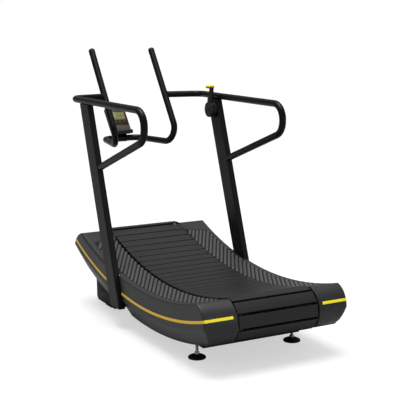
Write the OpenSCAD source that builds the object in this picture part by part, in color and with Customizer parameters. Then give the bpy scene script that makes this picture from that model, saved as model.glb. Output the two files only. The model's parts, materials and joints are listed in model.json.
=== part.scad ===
// Curved manual treadmill: a loop of slats runs in a hollow arc between two foot rails.
// X is the machine's right, Y is forward to the console, Z is up from the floor.
// The origin is on the floor at the centre of the machine's footprint.
// Lengths along the machine are taken from the lowest point of the running surface.

/* [Running surface] */
// Radius of the hollow running surface
surface_r = 2300; // [2280:5:2320]
// Height of the lowest point of the running surface
surface_low_z = 290; // [286:1:294]
// Y of the lowest point of the running surface
surface_low_y = -305.6; // [-308:0.2:-303]
// Length of a slat across the machine
slat_len = 474; // [450:2:476]
// Wanted distance from slat to slat along the carrier belts
slat_step = 70; // [68:1:72]
// Width of a slat along the machine
slat_w = 67; // [62:1:67]
// Thickness of a slat with its rubber tread
slat_t = 8; // [7:0.5:9]
// Outer radius of the loop where it turns at the front
front_turn_r = 101; // [99:1:104]
// Outer radius of the loop where it turns at the rear
rear_turn_r = 112; // [110:1:114]
// Front axle, forward of the lowest point
front_axle_v = 878; // [870:1:884]
// Rear axle, forward of the lowest point
rear_axle_v = -610; // [-616:1:-604]
// Radius of the slack run under the deck
return_r = 5000; // [4800:50:5400]

/* [Covers] */
// Width over the side covers
cover_w = 860; // [850:2:864]
// Clear width between the foot rails
well_w = 492; // [490:1:496]
// Wall of the covers
cover_wall = 4; // [3:0.5:5]
// Depth of the side crease under the running surface
crease_depth = 136; // [130:1:142]
// Depth of the covers' lower edge under the running surface
skirt_depth = 220; // [214:1:226]
// How far the lower edge is drawn in from the side
skirt_tuck = 44; // [36:1:50]
// Thickness of the rubber foot pads
pad_t = 7.5; // [5:0.5:7.5]
// Radius of the rear end caps
cap_r = 116; // [115:1:118]
// Width of the trim strip
trim_w = 15; // [12:1:18]

/* [Uprights and rails] */
// Thickness of an upright across the machine
upright_t = 37; // [34:1:38]
// Depth of an upright square to its length
upright_d = 120; // [110:1:122]
// Lean of the uprights towards the front
upright_lean = 19.8; // [19:0.2:20.6]
// Outer radius of the handrail tube
rail_r = 20; // [18:0.5:20]
// Outer radius of the handlebar tube
bar_r = 20; // [18:0.5:20]
// Wall of the bent tubes
tube_wall = 2.5; // [2:0.5:3]
// Height of the handrail's top stretch
rail_z = 1275; // [1268:1:1282]
// Height of the handlebar's crossbar
crossbar_z = 981; // [977:1:983]

/* [Console] */
// Width of the console
console_w = 136; // [134:1:144]
// Length of the console's face
console_len = 200; // [192:1:206]
// Lean of the console's face from upright
console_lean = 39; // [38:0.5:40]
// Radius of the bar along the console's lower edge
chin_r = 14; // [12:1:16]
// How far the bar's centre stands out of the console's face
chin_out = 10; // [8:1:11]

/* [Brake] */
// Radius of the brake disc
disc_r = 78; // [70:1:80]
// Radius of the drive pulley on the front axle
drive_pulley_r = 66; // [60:1:70]
// Radius of the small pulley on the brake disc
brake_pulley_r = 22; // [20:1:26]

/* [Feet] */
// Radius of the rear levelling feet
foot_r = 47.5; // [40:0.5:50]
// Radius of the threaded stems
stem_r = 8; // [6:0.5:8]
// Half the distance between the rear feet
foot_x = 297.5; // [295:0.5:300]

/* [Hidden] */
$fn = 96;

// Running clearance on a radius, the gap of a stationary joint, and a length past any face
run_gap = 0.05;
seat_gap = 0.1;
past = 2000;

// Centres of the arcs of the loop, as [y, z]
surface_c = [surface_low_y, surface_low_z + surface_r];
front_axle_c = axle_centre(front_axle_v, front_turn_r);
rear_axle_c = axle_centre(rear_axle_v, rear_turn_r);
return_c = return_centre();

// Layers of the belt, as depths under the tread
carrier_depth = slat_t + 0.4;
carrier_t = 5;
carrier_mid = carrier_depth + carrier_t / 2;
carrier_x = [172, 208];
belt_depth = carrier_depth + carrier_t;
rib_size = [5, 10, 300];

// Directions from the arcs' centres, in degrees forward of straight down
front_tangent = asin(front_axle_v / (surface_r + front_turn_r));
rear_tangent = asin(rear_axle_v / (surface_r + rear_turn_r));
return_front = direction(front_axle_c - return_c);
return_rear = direction(rear_axle_c - return_c);

// Lengths of the four stretches of the loop along the carrier belts
top_r = surface_r + carrier_mid;
front_r = front_turn_r - carrier_mid;
bottom_r = return_r - carrier_mid;
rear_r = rear_turn_r - carrier_mid;
front_turn = 180 + front_tangent - return_front;
rear_turn = 180 + return_rear - rear_tangent;
run_len = [
    arc_len(top_r, front_tangent - rear_tangent),
    arc_len(front_r, front_turn),
    arc_len(bottom_r, return_front - return_rear),
    arc_len(rear_r, rear_turn)
];
run_start = [0, run_len[0], run_len[0] + run_len[1], run_len[0] + run_len[1] + run_len[2]];
loop_len = run_start[3] + run_len[3];
slat_count = round(loop_len / slat_step);
slat_pitch = loop_len / slat_count;

// Covers
side_x = cover_w / 2;
well_x = well_w / 2;
pad_depth = 3.5;
seat_depth = pad_depth + pad_t;
cap_start = asin(-575 / surface_r);
pad_front = 19.3;
slot_gap = 14;
nose_r = 159;
nose_v = 846;
nose_z = 292;
nose_tip = [992, 357];
nose_foot = [888, 229];

// Uprights
upright_in = 416;
upright_x = upright_in + upright_t / 2;
upright_v = 279;
upright_bottom = 118;
upright_slope = tan(upright_lean);

// Rails and bars, as [x, forward of the lowest point, height]
rail_end = [224, 982, rail_z - 1];
rail_front = [441, 925, rail_z];
rail_rear = [433, -62, rail_z];
rail_low = [433, -60, rail_z - 157];
rail_foot = [432, 597, 882];
bar_top = [209, 1175, 1548];
bar_elbow = [209, 775, crossbar_z + 1];
bar_corner = [119, 1205, crossbar_z];

// Base frame
leg_x = 300;
leg_v = [600, 868];
leg_w = 68;
leg_top = 176;
leg_corner_r = 30;
beam_x = 297.5;
beam_w = 40;
beam_z = [95, 155];
beam_v = [-465, leg_v[0] - seat_gap];
brace_z = 72;
brace_h = 36;
rear_foot_v = -390;

// Brake
brake_v = 600;
brake_z = 262;
brake_c = [surface_low_y + brake_v, brake_z];
caliper_c = [surface_low_y + brake_v - 95, brake_z + 38];
pulley_x = [300, 322];
disc_x = [336, 343];
plate_x = [250, 256];

// Lever
lever_z = 1191;
lever_c = [surface_low_y + upright_v + upright_slope * lever_z, lever_z];
lever_x = [374, 395];
lever_lean = 6;

// Console: the lower edge of its face, and the layout of the face as [right, up the face]
console_v = 1188;
console_z = 1024.5;
shell_t = 30;
shell_corner_r = 14;
button_r = 7;
button_at = [[6, 80], [6, 50], [-26, 78], [38, 78]];
screen_corner = [-52, 94];
screen_size = [104, 60];

function unit(v) = v / norm(v);
function direction(d) = atan2(d[0], -d[1]);
function arc_len(r, angle) = r * angle * PI / 180;
function turn_angle(r, length) = length / r * 180 / PI;
function place(p) = [p[0], surface_low_y + p[1], p[2]];
function on_console(up, out) = [
    console_v + up * sin(console_lean) - out * cos(console_lean),
    console_z + up * cos(console_lean) + out * sin(console_lean)
];
function axle_centre(v, r) =
    [surface_c[0] + v, surface_c[1] - sqrt((surface_r + r) ^ 2 - v ^ 2)];
function return_centre() =
    let (
        a = rear_axle_c,
        b = front_axle_c,
        span = norm(b - a),
        ra = return_r - rear_turn_r,
        rb = return_r - front_turn_r,
        along = (ra ^ 2 - rb ^ 2 + span ^ 2) / (2 * span),
        up = sqrt(ra ^ 2 - along ^ 2),
        e = (b - a) / span
    )
    a + along * e + up * [-e[1], e[0]];

// Stands children on an axis across the machine: the children's X points down, Y forward, Z right
module around(c) {
    translate([0, c[0], c[1]])
        rotate([0, 90, 0])
            children();
}

// Copies children to the other side of the machine
module both_sides() {
    children();
    mirror([1, 0, 0])
        children();
}

// A ring sector about an axis across the machine, from direction a to direction b
module sector(c, a, b) {
    around(c)
        rotate([0, 0, a])
            rotate_extrude(angle = b - a, $fn = 720)
                children();
}

// A plain ring sector: radii and X limits
module ring_sector(c, a, b, r, x) {
    sector(c, a, b)
        translate([r[0], x[0]])
            square([r[1] - r[0], x[1] - x[0]]);
}

// A disc or a tube on an axis across the machine
module disc(c, r, x, bore = 0) {
    around(c)
        translate([0, 0, x[0]])
            difference() {
                cylinder(h = x[1] - x[0], r = r);
                if (bore > 0)
                    translate([0, 0, -1])
                        cylinder(h = x[1] - x[0] + 2, r = bore);
            }
}

// Extrudes a side view, drawn as [forward of the lowest point, height], between two X limits
module side_view(x) {
    translate([x[0], surface_low_y, 0])
        rotate([90, 0, 90])
            linear_extrude(x[1] - x[0])
                children();
}

// A box from its lowest corner, its Y taken from the lowest point of the surface
module block(corner, size) {
    translate(place(corner))
        cube(size);
}

// A rectangular tube along Y or X
module box_tube(corner, size, wall, along_x = false) {
    difference() {
        block(corner, size);
        block(
            corner + (along_x ? [-1, wall, wall] : [wall, -1, wall]),
            size + (along_x ? [2, -2 * wall, -2 * wall] : [-2 * wall, 2, -2 * wall])
        );
    }
}

// ---- Bent tubes ----

// A straight tube from a to b
module tube_straight(a, b, r, wall) {
    d = b - a;
    translate(a)
        rotate([0, acos(d[2] / norm(d)), atan2(d[1], d[0])])
            linear_extrude(norm(d))
                difference() {
                    circle(r);
                    circle(r - wall);
                }
}

// The bend of a tube at corner p, from direction u to direction w
module tube_bend(p, u, w, bend_r, r, wall) {
    turn = acos(u * w);
    m = unit(w - u * (u * w));
    c = p - u * bend_r * tan(turn / 2) + m * bend_r;
    n = cross(u, m);
    multmatrix([
        [-m[0], u[0], n[0], c[0]],
        [-m[1], u[1], n[1], c[1]],
        [-m[2], u[2], n[2], c[2]],
        [0, 0, 0, 1]
    ])
        rotate_extrude(angle = turn)
            translate([bend_r, 0])
                difference() {
                    circle(r);
                    circle(r - wall);
                }
}

// A tube through points, with a bend radius at each inner point.
// The bends are a hair thicker than the straights, and lap over their ends.
module bent_tube(points, bends, r, wall) {
    last = len(points) - 1;
    step = 0.15;
    lap = 1;
    function way(i) = unit(points[i + 1] - points[i]);
    function cut(i) =
        i == 0 || i == last ? 0 : bends[i - 1] * tan(acos(way(i - 1) * way(i)) / 2) - lap;
    for (i = [0 : last - 1])
        tube_straight(
            points[i] + way(i) * cut(i),
            points[i + 1] - way(i) * cut(i + 1),
            r, wall
        );
    for (i = [1 : last - 1])
        tube_bend(points[i], way(i - 1), way(i), bends[i - 1], r + step, wall + 2 * step);
}

// ---- Belt ----

// One slat, tread up along its own +X, its middle at the origin
module slat() {
    translate([-slat_t, -slat_w / 2, -slat_len / 2])
        cube([slat_t, slat_w, slat_len]);
    translate([-slat_t - rib_size[0], -rib_size[1] / 2, -rib_size[2] / 2])
        cube([rib_size[0] + 1, rib_size[1], rib_size[2]]);
}

// The slats whose middles lie on one stretch of the loop
module slats_on(run) {
    for (i = [0 : slat_count - 1]) {
        s = (i + 0.5) * slat_pitch - run_start[run];
        if (s >= 0 && s < run_len[run])
            slat_at(run, s);
    }
}

// A slat at length s along a stretch
module slat_at(run, s) {
    if (run == 0)
        around(surface_c)
            rotate([0, 0, rear_tangent + turn_angle(top_r, s)])
                translate([surface_r, 0, 0])
                    rotate([0, 0, 180])
                        slat();
    if (run == 1)
        around(front_axle_c)
            rotate([0, 0, 180 + front_tangent - turn_angle(front_r, s)])
                translate([front_turn_r, 0, 0])
                    slat();
    if (run == 2)
        around(return_c)
            rotate([0, 0, return_front - turn_angle(bottom_r, s)])
                translate([return_r, 0, 0])
                    slat();
    if (run == 3)
        around(rear_axle_c)
            rotate([0, 0, return_rear - turn_angle(rear_r, s)])
                translate([rear_turn_r, 0, 0])
                    slat();
}

// The two carrier belts on one stretch, cut short by a gap at each end
module carriers_on(c, outer_r, a, b, inward, gaps = [4, 4]) {
    r0 = inward ? outer_r - belt_depth : outer_r + carrier_depth;
    both_sides()
        ring_sector(
            c, a + turn_angle(r0, gaps[0]), b - turn_angle(r0, gaps[1]),
            [r0, r0 + carrier_t], carrier_x
        );
}

module slats_top() {
    color("dimgray")
        slats_on(0);
}

module slats_front() {
    color("dimgray")
        slats_on(1);
}

module slats_bottom() {
    color("dimgray")
        slats_on(2);
}

module slats_rear() {
    color("dimgray")
        slats_on(3);
}

module carriers_top() {
    color("black")
        carriers_on(surface_c, surface_r, rear_tangent, front_tangent, false);
}

module carriers_front() {
    color("black")
        carriers_on(front_axle_c, front_turn_r, return_front, 180 + front_tangent, true);
}

// Cut shorter at the rear, where the last slat of the rear turn swings past
module carriers_bottom() {
    color("black")
        carriers_on(return_c, return_r, return_rear, return_front, true, [48, 4]);
}

module carriers_rear() {
    color("black")
        carriers_on(rear_axle_c, rear_turn_r, rear_tangent - 180, return_rear, true);
}

// ---- Axles, pulleys and bearings ----

axle_r = 12.5;
bearing_r = 22;
bearing_x = [177, 189];
stud_r = 5;
bearing_circle = surface_r + belt_depth + seat_gap + bearing_r;
bearing_first = -11;
bearing_step = 1.6;
bearing_count = 19;

module on_bearing_line() {
    for (i = [0 : bearing_count - 1])
        around(surface_c)
            rotate([0, 0, bearing_first + i * bearing_step])
                translate([bearing_circle, 0, 0])
                    children();
}

module guide_bearings() {
    color("silver")
        both_sides()
            on_bearing_line()
                translate([0, 0, bearing_x[0]])
                    difference() {
                        cylinder(h = bearing_x[1] - bearing_x[0], r = bearing_r);
                        translate([0, 0, -1])
                            cylinder(h = bearing_x[1] - bearing_x[0] + 2, r = stud_r + run_gap);
                    }
}

module bearing_studs() {
    color("gray")
        both_sides()
            on_bearing_line() {
                translate([0, 0, bearing_x[0] - 4])
                    cylinder(h = plate_x[0] - bearing_x[0] + 4 - seat_gap, r = stud_r);
                translate([0, 0, bearing_x[0] - 8])
                    cylinder(h = 6, r = stud_r + 3, $fn = 6);
            }
}

module front_axle() {
    color("silver")
        disc(front_axle_c, axle_r, [-290, 336]);
}

module rear_axle() {
    color("silver")
        disc(rear_axle_c, axle_r, [-290, 290]);
}

module belt_pulleys(c, turn_r) {
    r = turn_r - belt_depth - seat_gap;
    both_sides()
        difference() {
            union() {
                disc(c, r, carrier_x);
                disc(c, 28, [carrier_x[0] - 12, carrier_x[1] + 12]);
            }
            disc(c, r - 10, [carrier_x[0] - 1, carrier_x[0] + 12], 32);
            disc(c, r - 10, [carrier_x[1] - 12, carrier_x[1] + 1], 32);
            disc(c, axle_r + run_gap, [carrier_x[0] - 20, carrier_x[1] + 20]);
        }
}

module front_pulleys() {
    color("darkgray")
        belt_pulleys(front_axle_c, front_turn_r);
}

module rear_pulleys() {
    color("darkgray")
        belt_pulleys(rear_axle_c, rear_turn_r);
}

// Four flanged bearing units on the outer faces of the deck plates
module axle_bearings() {
    color("slategray")
        both_sides()
            for (c = [front_axle_c, rear_axle_c]) {
                disc(c, 42, [plate_x[1] + seat_gap, plate_x[1] + 10], axle_r + run_gap);
                disc(c, 30, [plate_x[1] + 9, plate_x[1] + 28], axle_r + run_gap);
            }
}

// ---- Deck ----

// Steel side plate that follows the arc and holds both axles
module deck_plate() {
    difference() {
        union() {
            ring_sector(
                surface_c, rear_tangent, front_tangent,
                [surface_r + 24, surface_r + 140], plate_x
            );
            disc(front_axle_c, 62, plate_x);
            disc(rear_axle_c, 68, plate_x);
        }
        for (c = [front_axle_c, rear_axle_c])
            disc(c, axle_r + 4, [plate_x[0] - 1, plate_x[1] + 1]);
        on_bearing_line()
            translate([0, 0, plate_x[0] - 1])
                cylinder(h = plate_x[1] - plate_x[0] + 2, r = stud_r + 0.25);
    }
}

module deck_plate_right() {
    color("dimgray")
        deck_plate();
}

module deck_plate_left() {
    color("dimgray")
        mirror([1, 0, 0])
            deck_plate();
}

// Round tubes that hold the deck plates apart inside the loop
module deck_spacers() {
    color("gray")
        for (angle = [-11, -3, 6, 14])
            disc(
                surface_c + (surface_r + 98) * [sin(angle), -cos(angle)],
                16, [seat_gap - plate_x[0], plate_x[0] - seat_gap], 13
            );
}

// ---- Base ----

// Welded base: two beams, braces under the belt, posts to the deck plates and side brackets
module base_frame() {
    color("dimgray") {
        both_sides() {
            difference() {
                box_tube(
                    [beam_x - beam_w / 2, beam_v[0], beam_z[0]],
                    [beam_w, beam_v[1] - beam_v[0], beam_z[1] - beam_z[0]], 3
                );
                translate(place([foot_x, rear_foot_v, beam_z[0] - 1]))
                    cylinder(h = 5, r = stem_r + run_gap);
            }
            for (v = [-330, 40, 430])
                deck_post(v);
            side_bracket();
        }
        for (v = [-460, 0, 520])
            box_tube(
                [-beam_x, v, brace_z], [2 * beam_x, 50, brace_h], 3, true
            );
    }
}

// A post from a beam up the outside of the deck plate
module deck_post(v) {
    block([plate_x[1] + seat_gap, v, beam_z[0] + 20], [5, 60, 95]);
    block([plate_x[1] + seat_gap, v, beam_z[0] + 20], [25, 60, 5]);
}

// The bracket that an upright is bolted to
module side_bracket() {
    block([beam_x + beam_w / 2 - 1, upright_v + 15, upright_bottom], [95, 60, 37]);
    difference() {
        upright_slab([411, upright_in - seat_gap], 104, [upright_bottom, 226]);
        on_upright_bolts()
            cylinder(h = 40, r = 5.2, center = true);
    }
}

// A leaning slab on the uprights' centre line between two heights
module upright_slab(x, depth, z) {
    level_w = depth / cos(upright_lean);
    side_view(x)
        polygon([
            for (p = [[-1, z[0]], [1, z[0]], [1, z[1]], [-1, z[1]]])
                [upright_v + upright_slope * p[1] + p[0] * level_w / 2, p[1]]
        ]);
}

// The four bolts of the right upright, with their axes along X
module on_upright_bolts() {
    for (z = [172, 208])
        for (s = [-30, 30])
            translate(place([414, upright_v + upright_slope * z + s, z]))
                rotate([0, 90, 0])
                    children();
}

module upright_bolts() {
    color("silver")
        both_sides()
            on_upright_bolts() {
                translate([0, 0, -3.2])
                    cylinder(h = 13, r = 5);
                translate([0, 0, -9.6])
                    cylinder(h = 6.5, r = 9, $fn = 6);
            }
}

// Front legs: tall boxes, open at the top, with a rounded lower front corner
module front_legs() {
    wall = 4;
    color("black")
        both_sides()
            difference() {
                side_view([leg_x - leg_w / 2, leg_x + leg_w / 2])
                    leg_outline(0);
                side_view([leg_x - leg_w / 2 + wall, leg_x + leg_w / 2 - wall])
                    translate([0, 1])
                        leg_outline(wall);
            }
}

// Side view of a leg; its front face leans back slightly
module leg_outline(inset) {
    r = leg_corner_r - inset;
    back = leg_v[0] + inset;
    front = leg_v[1] - inset;
    bottom = 18 + inset;
    polygon([
        [back, bottom], [front - r, bottom], [front - r, bottom + r],
        [front, bottom + r], [front + 8, leg_top], [back, leg_top]
    ]);
    translate([front - r, bottom + r])
        circle(r);
}

module front_feet() {
    color("black")
        both_sides()
            block([leg_x - 15, 690, 0], [30, 88, 18 - seat_gap]);
}

// A rear levelling foot: a rubber disc with a domed top
module rear_foot() {
    color("black")
        translate(place([foot_x, rear_foot_v, 0]))
            rotate_extrude()
                polygon([
                    [0, 0], [foot_r - 3, 0], [foot_r, 3], [foot_r, 9],
                    [foot_r - 6, 14], [18, 22], [0, 22]
                ]);
}

module rear_foot_right() {
    rear_foot();
}

module rear_foot_left() {
    mirror([1, 0, 0])
        rear_foot();
}

module foot_stem() {
    color("silver")
        translate(place([foot_x, rear_foot_v, 0])) {
            translate([0, 0, 22])
                cylinder(h = 112, r = stem_r);
            translate([0, 0, 22])
                cylinder(h = 12, r = 15, $fn = 6);
        }
}

module foot_stem_right() {
    foot_stem();
}

module foot_stem_left() {
    mirror([1, 0, 0])
        foot_stem();
}

// Lock nuts under the beams
module foot_nuts() {
    color("silver")
        both_sides()
            translate(place([foot_x, rear_foot_v, beam_z[0] - 12 - seat_gap]))
                difference() {
                    cylinder(h = 12, r = 15, $fn = 6);
                    translate([0, 0, -1])
                        cylinder(h = 14, r = stem_r + run_gap);
                }
}

// ---- Covers ----

// Turns the covers' section, drawn as [depth, x], about the surface's axis
module cover_band(a, b) {
    sector(surface_c, a, b)
        translate([surface_r, 0])
            children();
}

// Outer outline of a cover; edge is the depth of its rounded shoulder
module cover_section(pad_edge, edge, drop) {
    polygon([
        [seat_depth, well_x],
        [seat_depth, pad_edge],
        [edge, pad_edge],
        [edge, side_x - drop],
        [edge + drop, side_x],
        [crease_depth, side_x],
        [skirt_depth, side_x - skirt_tuck],
        [skirt_depth, well_x]
    ]);
}

// The hollow of a cover, open to the belt and below
module cover_hollow() {
    w = cover_wall;
    polygon([
        [seat_depth + w, well_x - 1],
        [seat_depth + w, side_x - w],
        [crease_depth, side_x - w],
        [skirt_depth + 1, side_x - skirt_tuck - w],
        [skirt_depth + 1, well_x - 1]
    ]);
}

// Everything in front of the upright's slot (ahead = 1) or behind it (ahead = -1)
module past_slot(ahead) {
    half = upright_d / cos(upright_lean) / 2 + slot_gap;
    near = upright_v + ahead * half;
    side_view([0, side_x + 10])
        polygon([
            [near, 0],
            [near + upright_slope * 600, 600],
            [near + upright_slope * 600 + ahead * past, 600],
            [near + ahead * past, 0]
        ]);
}

module rear_cover() {
    color("dimgray")
        intersection() {
            difference() {
                cover_band(cap_start, 12)
                    cover_section(408, 6.5, 7);
                cover_band(cap_start - 1, 13)
                    cover_hollow();
            }
            past_slot(-1);
        }
}

module rear_cover_right() {
    rear_cover();
}

module rear_cover_left() {
    mirror([1, 0, 0])
        rear_cover();
}

// Side view of the nose: round above, drawn in below
module nose_outline(inset) {
    slope = unit(nose_tip - nose_foot);
    inward = [-slope[1], slope[0]] * inset;
    difference() {
        union() {
            translate([nose_v, nose_z])
                circle(nose_r - inset, $fn = 180);
            translate([nose_v - past, 0])
                square([past, 700]);
        }
        polygon([
            nose_foot + inward - slope * 300,
            nose_foot + inward + slope * 400,
            [nose_v + 500, -100]
        ]);
    }
}

module front_cover() {
    color("dimgray")
        intersection() {
            difference() {
                intersection() {
                    cover_band(4, 27)
                        cover_section(396, 8, 14);
                    side_view([0, side_x + 1])
                        nose_outline(0);
                }
                intersection() {
                    cover_band(3, 28)
                        cover_hollow();
                    side_view([0, side_x + 1])
                        nose_outline(cover_wall);
                }
            }
            past_slot(1);
        }
}

module front_cover_right() {
    front_cover();
}

module front_cover_left() {
    mirror([1, 0, 0])
        front_cover();
}

// Side view of a rear end cap
module cap_outline(inset) {
    translate([rear_axle_v, rear_axle_c[1]])
        circle(cap_r - inset, $fn = 180);
    translate([rear_axle_v, rear_axle_c[1] - cap_r + inset])
        square([80, 2 * cap_r - inset]);
}

module rear_cap() {
    color("dimgray")
        difference() {
            intersection() {
                cover_band(-22, cap_start - 0.02)
                    polygon([
                        [-1, well_x],
                        [-1, side_x - 7],
                        [6, side_x],
                        [crease_depth, side_x],
                        [skirt_depth + 20, side_x - skirt_tuck - 10],
                        [skirt_depth + 20, well_x]
                    ]);
                side_view([0, side_x + 1])
                    cap_outline(0);
            }
            intersection() {
                cover_band(-23, cap_start + 1)
                    polygon([
                        [3, well_x - 1],
                        [3, side_x - cover_wall],
                        [crease_depth, side_x - cover_wall],
                        [skirt_depth + 40, side_x - skirt_tuck - 26],
                        [skirt_depth + 40, well_x - 1]
                    ]);
                side_view([0, side_x + 1])
                    cap_outline(cover_wall);
            }
        }
}

module rear_cap_right() {
    rear_cap();
}

module rear_cap_left() {
    mirror([1, 0, 0])
        rear_cap();
}

module foot_pad() {
    color("black")
        ring_sector(
            surface_c, cap_start + 0.02, pad_front,
            [surface_r + pad_depth, surface_r + seat_depth - seat_gap],
            [well_x + 1, 394]
        );
}

module foot_pad_right() {
    foot_pad();
}

module foot_pad_left() {
    mirror([1, 0, 0])
        foot_pad();
}

// Strips along the covers' sides and round the caps
module trim_strips() {
    middle = 98;
    r = surface_r + middle - trim_w / 2;
    face = [side_x + seat_gap, side_x + 1.6];
    color("gold")
        both_sides() {
            ring_sector(surface_c, -14.4, 6.7, [r, r + trim_w], face);
            ring_sector(surface_c, 11.8, 23.6, [r, r + trim_w], face);
            ring_sector(
                rear_axle_c, -117.5, -110,
                [cap_r + seat_gap, cap_r + 1.6], [268.6, side_x - 20]
            );
        }
}

// ---- Uprights and rails ----

// Rounded rectangle, centred
module round_rectangle(size, r) {
    square([size[0] - 2 * r, size[1]], center = true);
    square([size[0], size[1] - 2 * r], center = true);
    for (sx = [-1, 1])
        for (sy = [-1, 1])
            translate([sx * (size[0] / 2 - r), sy * (size[1] / 2 - r)])
                circle(r);
}

// The upright's tube along its leaning centre line, longer than needed at both ends
module upright_bar(grow, solid) {
    translate(place([upright_x, upright_v, 0]))
        rotate([-upright_lean, 0, 0])
            translate([0, 0, -100])
                linear_extrude(1600)
                    difference() {
                        round_rectangle([upright_t + 2 * grow, upright_d + 2 * grow], 8);
                        if (!solid)
                            round_rectangle([upright_t - 6, upright_d - 6], 5);
                    }
}

module upright() {
    color("black")
        difference() {
            intersection() {
                upright_bar(0, false);
                translate([upright_x - 50, -past / 2, upright_bottom])
                    cube([100, past, rail_z - rail_r - seat_gap - upright_bottom]);
            }
            on_upright_bolts()
                cylinder(h = 16, r = 5.2, center = true);
            disc(cable_hole, 8, [400, upright_x]);
        }
}

module upright_right() {
    upright();
}

module upright_left() {
    mirror([1, 0, 0])
        upright();
}

module handrail() {
    points = [for (p = [rail_end, rail_front, rail_rear, rail_low, rail_foot]) place(p)];
    color("black")
        difference() {
            bent_tube(points, [77, 88, 88], rail_r, tube_wall);
            intersection() {
                upright_bar(0.2, true);
                translate([0, -past / 2, 0])
                    cube([past, past, rail_z - 100]);
            }
            handlebar_core();
        }
}

module handrail_right() {
    handrail();
}

module handrail_left() {
    mirror([1, 0, 0])
        handrail();
}

// Room for the handlebar where the handrails end against it
module handlebar_core() {
    a = place(bar_elbow);
    d = place(bar_top) - a;
    translate(a)
        rotate([0, acos(d[2] / norm(d)), atan2(d[1], d[0])])
            cylinder(h = norm(d), r = bar_r + seat_gap);
}

module handlebar() {
    flip = [-1, 1, 1];
    right = [place(bar_corner), place(bar_elbow), place(bar_top)];
    left = [for (i = [2 : -1 : 0]) [-right[i][0], right[i][1], right[i][2]]];
    color("black")
        bent_tube(concat(left, right), [79, 61, 61, 79], bar_r, tube_wall);
}

// Domed plugs in the handles' open ends
module handlebar_plugs() {
    a = place(bar_elbow);
    d = place(bar_top) - a;
    color("black")
        both_sides()
            translate(place(bar_top))
                rotate([0, acos(d[2] / norm(d)), atan2(d[1], d[0])])
                    rotate_extrude() {
                        translate([0, -20])
                            square([bar_r - tube_wall - seat_gap, 20 + seat_gap]);
                        translate([0, seat_gap])
                            intersection() {
                                circle(bar_r);
                                square(bar_r);
                            }
                    }
}

// ---- Console ----

// Puts children in the console's own frame: X right, Y up its face, Z out of its face
module in_console() {
    translate(place([0, console_v, console_z]))
        rotate([90 - console_lean, 0, 0])
            children();
}

// Saddle welded to the front of the crossbar, with an arm up the back of the console
module console_bracket() {
    v = bar_corner[1];
    z = crossbar_z;
    color("black")
        difference() {
            side_view([-40, 40])
                polygon([
                    [v, z - bar_r - 3], [v + 26, z - bar_r - 3], on_console(20, -44),
                    on_console(100, -44), on_console(100, -shell_t - seat_gap),
                    on_console(-3, -shell_t - seat_gap), [v, z + bar_r + 2]
                ]);
            translate([-50, surface_low_y + v, z])
                rotate([0, 90, 0])
                    cylinder(h = 100, r = bar_r + seat_gap);
        }
}

// Outline of the console's face, rounded at its top corners
module console_outline() {
    r = shell_corner_r;
    translate([-console_w / 2, 0])
        square([console_w, console_len - r]);
    translate([r - console_w / 2, 0])
        square([console_w - 2 * r, console_len]);
    for (s = [-1, 1])
        translate([s * (console_w / 2 - r), console_len - r])
            circle(r);
}

// The console's shell with a round bar along its lower edge
module console_housing() {
    color("black")
        in_console()
            difference() {
                union() {
                    translate([0, 0, -shell_t])
                        linear_extrude(shell_t)
                            console_outline();
                    translate([-console_w / 2, -6, chin_out])
                        rotate([0, 90, 0])
                            cylinder(h = console_w, r = chin_r);
                }
                translate([screen_corner[0], screen_corner[1], -6])
                    cube([screen_size[0], screen_size[1], 10]);
                for (at = button_at)
                    translate([at[0], at[1], -10])
                        cylinder(h = 14, r = button_r + run_gap);
                translate([4 - console_w / 2, 26, 4 - shell_t])
                    cube([console_w - 8, console_len - 42, shell_t - 13]);
            }
}

module console_screen() {
    color("olive")
        in_console()
            translate([screen_corner[0] + seat_gap, screen_corner[1] + seat_gap, -6 + seat_gap])
                cube([screen_size[0] - 2 * seat_gap, screen_size[1] - 2 * seat_gap, 5]);
}

module console_button(at) {
    color("gray")
        in_console()
            translate([at[0], at[1], -6])
                cylinder(h = 8, r = button_r);
}

module button_up() {
    console_button(button_at[0]);
}

module button_down() {
    console_button(button_at[1]);
}

module button_left() {
    console_button(button_at[2]);
}

module button_right() {
    console_button(button_at[3]);
}

// ---- Resistance lever ----

cap_lift = 149;
cap_x = 380.5;
neck_size = [20, 24];

// Stands children in the lever's own frame: X up the neck, Z to the machine's right
module on_lever() {
    around(lever_c)
        rotate([0, 0, 180 + lever_lean])
            children();
}

// A rounded plate across the top of the lever
module lever_plate(low, thick, size, r) {
    translate([low, 0, cap_x])
        rotate([0, 90, 0])
            linear_extrude(thick)
                round_rectangle(size, r);
}

module lever_housing() {
    color("black")
        disc(lever_c, 52, [lever_x[1] + 0.5, upright_in - seat_gap], 10 + run_gap);
}

// The lever's disc with its spigot, the neck that rises from it and the lip under the cap
module lever_arm() {
    color("black") {
        disc(lever_c, 48, lever_x);
        disc(lever_c, 10, [lever_x[1] - 1, 412]);
        on_lever() {
            translate([30, -18.5, lever_x[0] + 1])
                cube([50, 37, 19]);
            translate([56, -neck_size[0] / 2, 380])
                cube([cap_lift - 58, neck_size[0], neck_size[1]]);
            lever_plate(cap_lift - 13, 7 - seat_gap, [51, 27], 9);
        }
    }
}

module lever_cap() {
    color("gold")
        on_lever()
            difference() {
                lever_plate(cap_lift - 6, 10, [55, 30], 10);
                translate([cap_lift - 7, -neck_size[0] / 2 - seat_gap, 380 - seat_gap])
                    cube([5 + seat_gap, neck_size[0] + 2 * seat_gap, neck_size[1] + 2 * seat_gap]);
            }
}

// ---- Brake ----

module drive_pulley() {
    color("darkgray")
        disc(front_axle_c, drive_pulley_r, pulley_x, axle_r + run_gap);
}

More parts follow.
